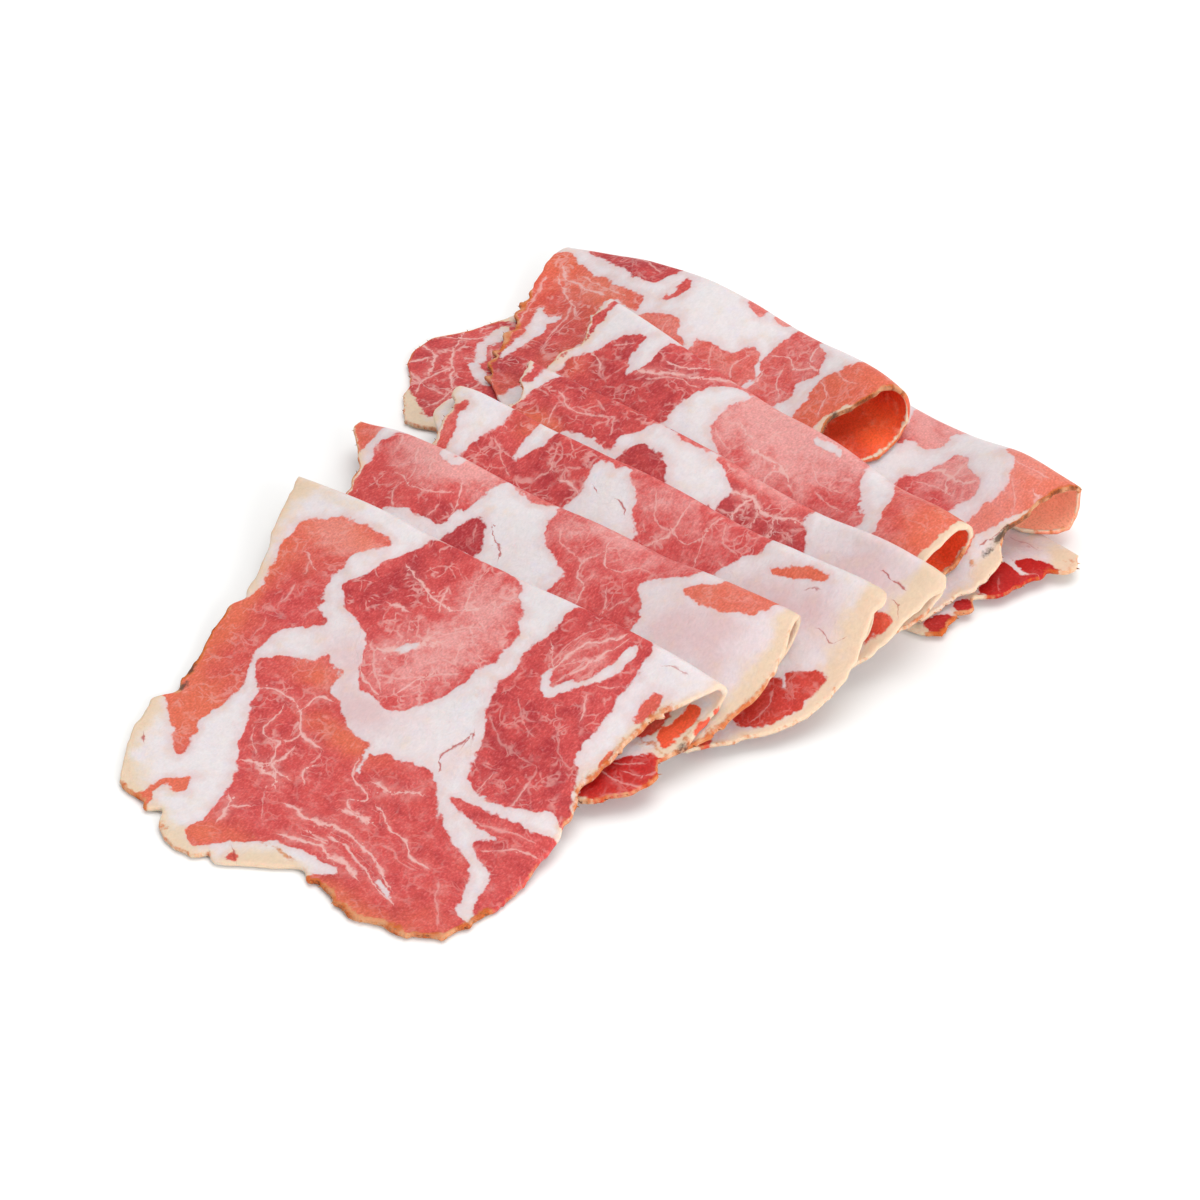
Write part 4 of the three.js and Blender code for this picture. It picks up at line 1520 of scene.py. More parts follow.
def third_slice() -> Slice:
    """The third slice from the front.

    Returns:
        The slice.
    """
    over = Flap(
        (42.5, 41, 38), (53.4, 51, 44.5), (44, 50, 52, 50, 47),
        nicks=every(
            Nick, (RIGHT, 3, 2.2, -2), (LEFT, 3, 1.4, -1), (LEFT, 6.5, 2.4, 0.9),
            (RIGHT, 35, 2.4, 0.5),
        ),
        crusts=every(Crust, (LEFT, 2, 16, 0.4, 0.35, 0.7), (RIGHT, 18, 44, 0.3, 0.5, 0.3)),
        cream=(0.8, 1, 0.4), warm=(0.2, 0.3, 0.3), bark=(0.9, 0, 0),
    )
    under = Flap(
        (50, 42, 34), (50, 47, 42), (20, 24, 28, 30, 30),
        crusts=every(Crust, (RIGHT, 8, 20, 0.45, 0.4, 0.4)), cream=(0.6, 1, 0.7),
        warm=(0.4, 0.4, 0.4),
    )
    muscles = every(
        Muscle,
        (((-44.6, 3.4), (-42.8, 4.4), (-41.6, 8), (-40.2, 13), (-39, 20), (-43, 24), (-46, 14)),
          0.45),
        (((-33, -2), (-33.6, 5), (-35.8, 9), (-36, 13), (-37, 30), (-14, 30), (-12, 13),
          (-11, 9.6), (-12.4, 7), (-12.6, -2)), 0.34, 0.05, 0.75),
        (((-5, -2), (-5, 2.6), (-1.4, 4.4), (-1.2, 7), (0.4, 9), (3, 11), (5, 13), (6, 34),
          (24, 34), (21.4, 13), (22.6, 9), (24, 6.4), (26.6, 5), (26.6, -2)), 0.5, 0, 0.6),
        (((29, 7), (31, 5.5), (36, 4.8), (41.4, 4.8), (39, 6.6), (35, 7.2), (30, 7.8)), 0.5, 0.85,
          0),
        (((43.6, 21.6), (47, 19.8), (49, 18.4), (51.4, 17.8), (51.2, 22), (49, 24.2), (46, 23.2)),
          0.2, 0.25, 0.5, 0.45),
        (((41.8, 23.4), (44.4, 22.8), (46, 24.4), (49.6, 22.4), (50.6, 25), (49, 29.4), (46.6, 33),
          (42.4, 33.6), (40, 32), (41, 28)), 0.1, 0.2, 0.5, 0.6),
        (((36, 36), (43, 37.4), (44, 41), (36, 44)), 0.1, 0.2, 0.4, 0.5), *hidden_half(-1),
    )
    seams = every(Seam, (((-26, -2), (-25.8, 3), (-26.6, 9)), (5.6, 4.6, 0.8)))
    strands = every(
        Line, (((8.6, 3.4), (9.4, 8), (7.4, 12)), 0.7, 0.35),
        (((15.4, 2.6), (14.6, 7), (17.4, 12)), 0.7), (((2, 4), (5, 8.6), (9.4, 8)), 0.5),
        (((9.4, 8), (12, 9.4), (14.6, 7)), 0.6), (((17, 3), (19, 6.4), (22, 7)), 0.45),
        (((-33, 8), (-29, 10.6), (-26, 12.6)), 0.5), (((-21, 4), (-19, 8), (-21, 11.6)), 0.5),
        (((-16.6, 9), (-14, 8.4), (-12, 9.4)), 0.8, 0.35), (((-19, 8), (-15, 5.4)), 0.4),
        (((44.6, 25), (46.6, 28), (45, 31.6)), 0.5),
    )
    patches = every(
        Patch, (PINK, 6, 4, 9, 4, 0.3), (CREAM, 50, 8, 3, 10, 0.8), (HAZE, 36, 12, 12, 6, 2.2),
        (WARM, -29, 3, 4, 3, 0.5), (CREAM, 51.6, 26, 1.4, 10, 0.6), (PINK, -18, 10, 6, 4, -0.15),
    )
    cracks = every(
        Line, (((-4.6, 7.4), (-3.4, 7.6), (-2.2, 8.6), (-0.8, 9.6)), 1, 0.26),
        (((-10, 7.2), (-8.4, 8)), 0.9, 0.26), (((38, 8), (39.6, 7.4)), 0.7, 0.25),
        (((44, 13.4), (46.4, 13), (48, 13.4), (50, 11.4)), 0.8, 0.16),
    )
    return Slice(
        node="slice_6", start=(-45.5, 30), end=(50, 24), crease=(1.4, 2.7), seed=6, over=over,
        under=under, marbling=Marbling(muscles, seams, strands, patches, cracks),
    )


def fourth_slice() -> Slice:
    """The fourth slice from the front.

    Returns:
        The slice.
    """
    over = Flap(
        (42, 40, 36), (48.8, 45, 38), (44, 50, 52, 50, 44),
        nicks=every(
            Nick, (RIGHT, 2.6, 2, -1.6), (LEFT, 6, 1.6, -0.8), (LEFT, 9, 2, 1),
            (LEFT, 13, 1.4, -0.5),
        ),
        crusts=every(Crust, (LEFT, 3, 20, 0.45, 0.4, 1), (RIGHT, 18, 40, 0.3, 0.5, 0.3)),
        cream=(0.5, 1, 0.4), warm=(0.15, 0.2, 0.3), bark=(0.8, 0, 0),
    )
    under = Flap(
        (43, 40, 35), (49, 47, 41), (20, 24, 28, 28, 22),
        crusts=every(Crust, (RIGHT, 4, 22, 0.4, 0.5, 0.3)), cream=(0.6, 1.2, 0.9),
        warm=(0.4, 0.4, 0.4),
    )
    muscles = every(
        Muscle,
        (((-40.4, -2), (-16, -2), (-17.6, 3), (-19.4, 5), (-20, 7), (-19, 10.4), (-21, 11),
          (-25, 10.4), (-30, 10.6), (-31, 13), (-31, 34), (-38, 34), (-42, 20), (-42.6, 10),
          (-40.8, 4)), 0.3, 0.1, 0.75),
        (((-54, -4), (-45, -4), (-44, 2), (-43.4, 6), (-50, 8)), 0.4, 0.1, 0.4),
        (((-15.4, 5.5), (-11, 6.3), (-8, 9), (-5.6, 12), (-5, 16), (-6, 30), (-18, 30),
          (-17.5, 12.6), (-16.6, 9)), 0.1, 0.1, 0.25),
        (((2.8, 11), (4.4, 10.6), (5, 12.2), (3.2, 12.4)), 0.1, 0.1, 0),
        (((-3, -2), (-1.4, 1.4), (1, 3.4), (4, 5), (6, 6.4), (5.6, 9), (6, 13), (6, 30), (27, 30),
          (26, 12), (24, 8), (22, 4.8), (20.6, 3), (21, 0), (22, -2)), 0.14, 0.1, 0.8),
        (((43, 12.6), (45, 12.2), (47.6, 11.8), (47.6, 14), (46.5, 16.4), (45.7, 18),
          (44.5, 15.4)), 0.3, 0.45, 0.4, 0.5),
        *hidden_half(1),
    )
    strands = every(
        Line,
        (((5.4, 6.6), (8, 5.6), (10.6, 5.2), (12, 6.2), (15, 5.6), (17.6, 4), (20.6, 4)), 1, 0.6),
        (((9.8, 5.6), (9.2, 9), (9.6, 12.6)), 0.8, 0.4),
        (((15.4, 5.6), (16.8, 9), (16.4, 13)), 0.9, 0.45), (((12, 6.4), (12.6, 10)), 0.6),
        (((16.8, 9), (19, 7.4), (21, 8.6)), 0.5), (((9.2, 9), (6.4, 10)), 0.6),
        (((19.4, 9.6), (20, 13)), 0.5), (((-37, 5), (-33, 7.4), (-28, 6.4), (-24, 4.6)), 0.6),
        (((-35, 8), (-33.4, 12)), 0.6), (((-24, 4.6), (-22, 8)), 0.5),
        (((-30, 3), (-27, 4.4)), 0.4),
    )
    patches = every(
        Patch, (PINK, 9, 1.4, 12, 3, 0.85), (WARM, -35, 12.6, 5, 2, 0.9),
        (CREAM, 47.6, 8, 2, 12, 0.9), (HAZE, 36, 9, 12, 7, 2.4), (CREAM, -42, 8, 1.6, 6, 0.3),
    )
    cracks = every(
        Line, (((40, 6.2), (41.6, 6.6), (43.6, 6.6), (45.4, 7)), 1, 0.24),
        (((45, 9.2), (46.6, 9.4)), 0.8, 0.22), (((40, 17), (42, 17.6), (44, 17.2)), 0.7, 0.16),
        (((46.6, 9.6), (48, 10.8)), 0.6, 0.18),
    )
    return Slice(
        node="slice_5", start=(-41, 44.5), end=(57.5, 34.3), crease=(1.4, 1.7), seed=5, over=over,
        under=under, marbling=Marbling(muscles, strands=strands, patches=patches, cracks=cracks),
    )


def fifth_slice() -> Slice:
    """The fifth slice from the front, which ends in an open roll.

    Returns:
        The slice.
    """
    over = Flap(
        (44, 42, 38), (47, 44, 38), (44, 48, 50, 50, 46),
        nicks=every(Nick, (LEFT, 6, 1.6, -0.7), (LEFT, 12, 2.4, 1.1), (LEFT, 16, 1.4, -0.5)),
        crusts=every(Crust, (LEFT, 3, 24, 0.5, 0.4, 1)), cream=(0.5, 1.1, 0.4),
        warm=(0.1, 0.3, 0.3), bark=(0.7, 0, 0),
    )
    under = Flap(
        (42, 38, 34), (47, 44.5, 38), (20, 24, 28, 29, 28),
        crusts=every(Crust, (RIGHT, 2, 18, 0.85, 0.5, 0.3)), cream=(0.6, 0.9, 0.9),
        warm=(0.4, 0.9, 0.4),
    )
    muscles = every(
        Muscle,
        (((-38.4, 9), (-36.6, 5.6), (-33.4, 4), (-31.4, 2.6), (-29, 3), (-24, 1), (-22, -3),
          (-8, -3), (-8.6, 1.4), (-12, 3.6), (-14.6, 6), (-15, 9), (-14.6, 11), (-15, 16),
          (-15, 32), (-40, 32), (-41, 17), (-41.4, 15), (-39.8, 12)), 0.3, 0.05, 0.7),
        (((-5.6, -2), (-6.4, 8), (-6.4, 10), (-4.6, 12), (-2.4, 13.6), (0, 15), (2, 18), (2, 34),
          (30, 34), (31.6, 16), (31.6, 13.6), (30.4, 11), (27.6, 8.4), (24.6, 6), (23.4, 3),
          (22.6, -2)), 0.72, 0, 0.6),
        (((27, -4), (28.6, 0.6), (31, 3.6), (33, 7.4), (34.6, 11), (35, 15), (35, 34), (44, 34),
          (45, 14), (45.6, 6), (47, 1), (48, -6), (44, -18), (34, -18)), 0.62, 0.3, 0.3),
        (((-52, -16), (-40, -14), (-43.4, -3), (-44.6, 3), (-43.6, 9), (-42.4, 14), (-44, 20),
          (-52, 18)), 0.3, 0.05),
        *hidden_half(),
    )
    seams = every(
        Seam, (((-29.6, 2.6), (-29.7, 6), (-29.4, 9.4), (-28.8, 12.6)), (4.6, 4.2, 2.6, 0.6)),
        (((11.6, 2.8), (14.4, 3.2), (17.4, 3)), (0.8, 1.8, 0.6)),
    )
    strands = every(
        Line, (((-27.6, 10.6), (-24, 8.8), (-18.6, 6), (-15.4, 3.6), (-11.6, 1.6)), 1, 0.7),
        (((-24, 10.4), (-20, 8), (-15.4, 6.4)), 0.6),
        (((-40, 12.4), (-36, 12.4), (-34.4, 14)), 0.7),
        (((-24, 5.4), (-20, 4.4), (-17.4, 2)), 0.8, 0.4), (((-36, 8), (-33.4, 6.6)), 0.6),
        (((4, 10.6), (8, 11.2), (12, 10.6), (15, 12)), 0.8, 0.5), (((-2, 7.6), (2, 9)), 0.6, 0.4),
        (((12, 10.6), (10, 13), (11, 15)), 0.7, 0.4), (((16, 8), (20, 9.4), (23, 8.6)), 0.45),
        (((-4.4, 11), (-1, 12.6)), 0.5), (((20, 11.4), (24, 12.6), (27, 12)), 0.5),
    )
    patches = every(
        Patch, (PINK, 6, 4, 14, 5, 0.6), (WARM, 43, 7, 4, 12, 0.6), (PINK, 24, 12, 6, 4, -0.25),
        (CREAM, 47, 10, 1.6, 14, 0.9), (CREAM, -44, 8, 1.4, 6, 0.2), (WARM, -39, 16, 3, 4, 0.4),
        (PINK, -20, 12, 8, 4, -0.12),
    )
    return Slice(
        node="slice_4", start=(-39, 67.5), end=(54, 48.7), crease=(1.4, 4.6), opens=0.1, bow=-1.5,
        lining=Lining(0.25, 0.5), seed=4, over=over, under=under,
        marbling=Marbling(muscles, seams, strands, patches),
    )


def sixth_slice() -> Slice:
    """The sixth slice from the front, whose lower flap shows on the left.

    Returns:
        The slice.
    """
    over = Flap(
        (40.3, 35.4, 30), (37.5, 34, 30), (46, 50, 50, 48, 44),
        nicks=every(
            Nick, (LEFT, 6, 4, -0.6), (LEFT, 23.5, 1.2, -0.5), (LEFT, 26.5, 2, 0.6),
            (RIGHT, 17, 3, 1.6),
        ),
        crusts=every(
            Crust, (LEFT, 3, 18, 0.4, 0.35, 0.3), (LEFT, 16, 48, 0.8, 1.5, 1.8),
            (RIGHT, 2, 22, 1, 0.4, 0.5),
        ),
        cream=(0.4, 0.9, 0.4), warm=(0.2, 0.4, 0.3),
    )
    under = Flap(
        (38, 46, 34), (44, 43, 36), (66, 53, 36, 30, 28),
        nicks=every(Nick, (LEFT, 50, 4, 1.4), (LEFT, 36, 2, -0.6), (LEFT, 31, 1.6, 0.6)),
        crusts=every(
            Crust, (LEFT, 24, 46, 0.6, 0.4, 0.9), (LEFT, 46, 60, 0.4, 0.4, 0.6),
            (END, -46, -20, 0.36, 0.4, 0.6), (RIGHT, 2, 20, 0.4, 0.5, 0.3),
        ),
        cream=(0.3, 0.9, 0.9), warm=(0.1, 0.9, 0.3),
    )
    muscles = every(
        Muscle,
        (((-48, 4), (-41.4, 4), (-38, 5.4), (-35, 6), (-32.6, 7.8), (-28, 9.4), (-24, 10.6),
          (-20, 11.2), (-16.8, 11.6), (-16, 14.6), (-18.4, 15), (-22, 14), (-24.6, 14.2),
          (-23, 17), (-21, 20), (-20, 24), (-20, 28), (-20.6, 33), (-23, 52), (-48, 52)), 0.42,
          0.4, 0.75),
        (((-40, 0.4), (-34, -2), (-24, -3.6), (-16, -2), (-17, 4), (-18, 7.6), (-22, 7.6),
          (-26, 6.4), (-31, 4.6), (-36, 2.8)), 0.22, 0),
        (((-14.6, 2), (-12.6, 3), (-11.4, 5), (-12, 8), (-13, 10.6), (-14.2, 10.4), (-13.6, 7)),
          0.4, 0.2, 0),
        (((-14.4, 14.2), (-11.4, 13.4), (-9, 12.4), (-6.4, 14), (-4, 16.4), (-1.6, 18.6), (-2, 26),
          (-16, 24), (-15, 17)), 0.7, 0.5, 0.3),
        (((-1.6, -1), (0.6, -2), (3, -1.4), (5, 1.6), (5.6, 4.2), (3.4, 4), (0.6, 2.2)), 0.8, 0.3,
          0.1),
        (((5.6, -2), (9, -2), (11.2, 1), (10.8, 3.6), (8, 3), (6, 1)), 0.8, 0.3, 0.1),
        (((14, 2), (15, -4), (11, -6), (10, -5)), 0.6, 0.2, 0.2),
        (((-1.6, 15), (1, 14.4), (6, 15), (7.4, 13.4), (8, 11.4), (10, 10.4), (12, 12), (12.6, 14),
          (14, 17), (14, 30), (0, 30), (-0.4, 18)), 0.62, 0.3),
        (((12.6, 8), (13, 5), (14.6, -4), (18.4, -3), (19.4, 4.6), (23, 5), (25, 7), (24.6, 9),
          (26, 10.4), (25, 12), (23, 14), (23.4, 19.4), (24, 32), (15.4, 32), (15, 16),
          (12.6, 12.4)), 0.58, 0.2, 0.65),
        (((28.4, 9.4), (29.6, 7), (30, 2), (40, -2), (46, -2), (44, 10), (38, 12), (35, 15),
          (33, 18), (33.6, 30), (28, 30), (27.6, 20), (26.6, 14)), 0.5, 0.75, 0.4),
        (((-8, -26), (4, -24), (8, -10), (0, -4), (-10, -8)), 0.5, 0.1),
        (((30, -2), (44, -2), (48, -8), (46, -16), (36, -20), (28, -14)), 0.2, 0.6, 0.3),
        (((-38, -24), (-46, -30), (-49, -38), (-43.6, -48), (-38.6, -51.4), (-34, -54.4),
          (-30, -57), (-26, -58.6), (-18, -60), (-16, -44), (-18, -26), (-30, -22)), 0.3, 0, 1),
    )
    seams = every(
        Seam,
        (((-34, 19.4), (-32.4, 22), (-31, 25.4), (-30.2, 29), (-29.8, 33), (-29.6, 35.4)),
          (0.5, 2.2, 3.4, 2.4, 1.6, 0.8)),
        (((-29.6, 20.4), (-31, 23)), (1.2, 2)),
        (((-36.8, -26.6), (-36.4, -30), (-35.2, -33)), (1.8, 2.8, 1)),
        (((-36.2, -33.6), (-34.6, -36.4), (-33, -38.2)), (1.2, 2.4, 1.2)),
        (((-32.6, -39.4), (-30, -41), (-27, -42.6)), (2, 2.4, 0.8)),
        (((-37.8, 20), (-36.6, 26), (-35.2, 31), (-33.4, 36)), (0.4, 1.3, 1.8, 1.2)),
        (((-27, -58), (-24, -61), (-20, -62)), (2.6, 4, 5)),
    )
    strands = every(
        Line, (((-39.6, 8), (-36, 10), (-31, 12.4), (-26, 13.2)), 0.8, 0.4),
        (((-38, 10), (-34, 13.4), (-30, 15.6), (-27, 19)), 0.7, 0.35),
        (((-39.4, 12), (-37.4, 17), (-36.4, 23), (-35, 28)), 0.7, 0.35),
        (((-38.6, 15), (-36, 20), (-34.6, 25)), 0.6),
        (((-29, 17), (-28, 22), (-26.6, 27)), 0.6, 0.4), (((-26, 18), (-27, 24), (-25, 30)), 0.5),
        (((-33, 9.4), (-28, 11.4), (-22, 12.6)), 0.6), (((-36, 4.4), (-30, 6), (-24, 7)), 0.5),
        (((-32, 0), (-26, 2), (-20, 4)), 0.5),
        (((14, 10), (17, 9), (20, 10.6), (23, 9.4)), 0.7, 0.4),
        (((14.6, 15), (15, 19.6)), 0.9, 0.5), (((17.6, 12), (18.4, 16), (21.6, 17.4)), 0.6),
        (((20, 5), (21.4, 8), (24.6, 9.6)), 0.8, 0.4), (((9.4, 13), (8.6, 16), (10.4, 19)), 0.5),
        (((3, 15.6), (5, 18.6)), 0.4), (((-9, 14), (-8, 18)), 0.4),
        (((28, 12), (31, 14), (32, 18)), 0.6), (((29, 9), (32, 10.6), (34.6, 9.6)), 0.5),
        (((-42, -31), (-40, -37), (-36, -42), (-33, -45)), 0.9, 0.5),
        (((-45, -38), (-41, -41), (-38, -46)), 0.8, 0.4),
        (((-36, -42), (-38, -48), (-36, -52)), 0.7, 0.4),
        (((-33, -45), (-30, -50), (-31, -55)), 0.7, 0.4),
        (((-27, -38), (-29, -45), (-26, -51)), 0.6, 0.4), (((-41, -41), (-43, -45)), 0.7, 0.4),
        (((-34, -34), (-29, -38), (-25, -40)), 0.7, 0.4),
        (((-40, -47), (-36, -49.6), (-32, -50)), 0.6),
        (((-43.6, -34), (-40, -34), (-37, -31)), 0.7, 0.4),
    )
    patches = every(
        Patch, (WARM, -40, 6, 5, 6, 0.4), (WARM, -26, 26, 4, 5, -0.2), (MOULD, -34, 36, 2, 5, 1.2),
        (CREAM, -37, 24, 2, 8, 0.6), (WARM, -30, 36, 6, 6, -0.4), (PINK, -29, 36, 6, 6, -0.3),
        (PINK, -34, -35, 4, 8, 0.3), (DEEP, -38, 18, 3.6, 10, 0.4),
        (PINK, -27, 12, 9, 3.4, 0.4, 20), (WARM, -27, 12, 9, 3.4, 0.5, 20),
        (RIND, -37, 25, 1, 3, 0.6), (MOULD, 35, 16.6, 1.2, 1.2, 1.3),
        (MOULD, 36.6, 19, 1.4, 1.2, 1.3), (CREAM, 34.6, 16, 1.6, 3, 0.8),
        (CREAM, -38, -25, 5, 3, 0.7), (CREAM, -36, -54, 9, 3.4, 0.9, -35),
        (CREAM, -24, -61, 6, 4, 0.6), (PINK, -31, 1, 9, 3, -0.15),
    )
    return Slice(
        node="slice_3", start=(-59.5, 81.5), end=(25.5, 72), crease=(1.5, 4.4), opens=0.1, bow=5.6,
        loose=13, lining=Lining(0.4, 0.5, 0.35, 0.75), seed=3, over=over, under=under,
        marbling=Marbling(muscles, seams, strands, patches),
    )


def seventh_slice() -> Slice:
    """The seventh slice from the front, which ends in an open roll.

    Returns:
        The slice.
    """
    over = Flap(
        (42, 38, 34), (46.4, 48.6, 47.5), (44, 46, 46, 46, 47),
        nicks=every(
            Nick, (RIGHT, 5, 5, -1.9), (RIGHT, 19.6, 3.2, 1.9), (RIGHT, 25, 2.4, -0.5),
            (RIGHT, 35, 3, 1.2),
        ),
        crusts=every(Crust, (RIGHT, 2, 22, 1, 0.4, 0.6), (RIGHT, 22, 46, 0.25, 0.5, 0.5)),
        cream=(0.5, 0.8, 0.4), warm=(0.4, 0.3, 0.4),
    )
    under = Flap(
        (42, 37, 32), (49.5, 49, 47), (18, 20, 21, 18, 14.5),
        crusts=every(Crust, (RIGHT, 2, 14, 0.35, 0.4, 0.3)), cream=(0.5, 0.6, 0.8),
        warm=(0.4, 0.9, 0.6),
    )
    muscles = every(
        Muscle, (((-40, 2), (-4, -2), (3, 2), (5, 10), (2, 30), (-36, 30)), 0.4, 0.2, 0.7),
        (((9, -4), (15, -5.4), (22, -3), (23, 2), (21.4, 5), (21, 8), (20, 10), (17, 10),
          (14, 11.4), (11.4, 5)), 1, 0.1, 0.15),
        (((12.4, 9.4), (14, 8.4), (15, 10), (15.4, 12.4), (13.4, 12)), 0.3, 0.3, 0.2),
        (((20.6, 18.2), (22.6, 16), (23.8, 11.6), (25, 9.4), (27.4, 9), (28.6, 10.4), (31, 12.8),
          (34, 13.4), (35.6, 15), (35.6, 17), (33, 20), (31, 30), (22, 30), (20, 21)), 0.5, 0.05,
          0.7),
        (((32.6, -3), (33, 4.6), (35, 6), (37, 7), (38.2, 9), (39.2, 12), (39, 15), (37.6, 18),
          (37, 20), (36, 30), (40.6, 30), (41.6, 22), (43, 18), (46, 14), (48, 10), (54, 8),
          (52, 1), (40, -4)), 0.72, 0.6, 0.3),
        (((-30, -6), (20, -6), (24, -16), (-26, -18)), 0.4, 0.2),
        # Pale orange meat on the lower flap at the open end: painted light, lifting the shade in
        # the roll's mouth.
        (((41, -1), (56, 4), (56, -14), (44, -14)), 1, 0.7, 0, 0.3),
    )
    strands = every(
        Line, (((24, 14), (27, 13.6), (30, 15.4), (33, 14.4)), 0.85, 0.5),
        (((28.6, 11), (28, 15), (29.4, 18)), 0.7, 0.4), (((23.4, 18), (27, 17), (31, 18.4)), 0.5),
        (((36, 6.6), (40, 7.8), (44, 7)), 0.5), (((12, 0), (17, 2), (21, 1.4)), 0.4),
        (((40, 12), (42.6, 14), (43.4, 17)), 0.4), (((45, 11), (47, 12.4)), 0.9, 0.6),
    )
    patches = every(
        Patch, (MOULD, 44.8, 20.2, 1, 2.4, 1.6), (MOULD, 44.4, 24.6, 0.6, 1.8, 1.2),
        (CREAM, 45.6, 26, 1.4, 7, 0.5), (RIND, 43.6, 28.4, 1, 1.2, 0.6), (PINK, 27, 12, 6, 4, 0.5),
        (WARM, 48, 5, 6, 10, 0.3), (PINK, 41, 9, 8, 12, 1), (CREAM, 41.6, 22, 1.4, 5, 0.5),
    )
    # A dark red line down the band beside the mould.
    cracks = every(Line, (((44.6, 18), (43.6, 21), (43.2, 24)), 0.9, 0.22))
    return Slice(
        node="slice_2", start=(-35.5, 81.5), end=(61.5, 73), crease=(1.3, 4.4), opens=0.08, bow=3,
        # Its lining is pale: painted light in the shaded mouth of the roll.
        loose=13, lining=Lining(0.3, 0.3, 1.05, 0.8, 0.95), seed=2, over=over, under=under,
        marbling=Marbling(muscles, strands=strands, patches=patches, cracks=cracks),
    )


def last_slice() -> Slice:
    """The slice laid down first, at the very back.

    Returns:
        The slice.
    """
    over = Flap(
        (38, 34, 30), (41, 38.5, 38.5), (30, 34, 36, 36.5, 37),
        nicks=every(
            Nick, (RIGHT, 4, 2.4, -2.4), (RIGHT, 7.6, 0.9, 0.8), (RIGHT, 21.6, 1.8, 2.2),
            (RIGHT, 26.8, 0.7, 1), (RIGHT, 24.6, 1.2, -0.6), (RIGHT, 31, 2, -0.5),
            (RIGHT, 14, 3, 0.4),
        ),
        crusts=every(
            Crust, (RIGHT, 22, 37, 0.72, 0.6, 0.9), (RIGHT, 1, 8, 0.45, 0.6, 1),
            (RIGHT, 8, 21, 0.35, 0.3, 0.5),
        ),
        cream=(0.6, 0.8, 0.8), warm=(0.4, 0, 0.2),
    )
    under = Flap(
        (38, 34, 30), (38, 34, 30), (18, 20, 20, 20, 18), cream=(0.5, 0.9, 0.7),
        warm=(0.4, 0.2, 0.4),
    )
    muscles = every(
        Muscle,
        (((34.6, 9.4), (36, 7.8), (38, 6.8), (41.2, 6), (44, 8), (44, 14), (41, 18), (38.4, 20),
          (35.2, 20.4), (34.6, 16), (32.8, 11.6)), 0, 0, 0.1, 1),
        (((34, 23.8), (38, 23), (39, 27.2), (34.4, 26.6)), 0, 0, 0.1, 0.8),
        (((33.6, 29.4), (36, 28), (40, 27.8), (39, 33), (33, 33)), 0, 0.05, 0.1, 0.7),
        (((-36, 4), (-6, 3), (2, 14), (-4, 30), (-30, 30)), 0.4, 0.1, 0.7),
        (((4, 6), (24, 4), (26, 18), (18, 30), (6, 26)), 0.4, 0.1, 0.7), *hidden_half(),
    )
    seams = every(Seam, (((33.6, 10.4), (36, 10.8), (37.6, 12), (38.4, 11)), (1.4, 1.2, 1.2, 0.4)))
    strands = every(Line, (((38.4, 11), (40, 9.4), (41, 10.4)), 0.5), (((36, 15), (38, 17)), 0.4))
    patches = every(
        Patch, (HAZE, 34, 5, 5, 2, 1.5), (CREAM, 43, 4, 3, 3.4, 1),
        (RIND, 42.6, 3.4, 1.8, 3.4, 0.35), (CREAM, 38, 2, 5, 2, 0.6),
    )
    cracks = every(Line, (((31, 5.4), (33.4, 4.2), (36, 4)), 0.5, 0.24))
    return Slice(
        node="slice_1", start=(-17, 75), end=(66.5, 65), crease=(0.95, 0.95), opens=0, seed=1,
        over=over, under=under, marbling=Marbling(muscles, seams, strands, patches, cracks),
    )


# ---- frayed rind ----


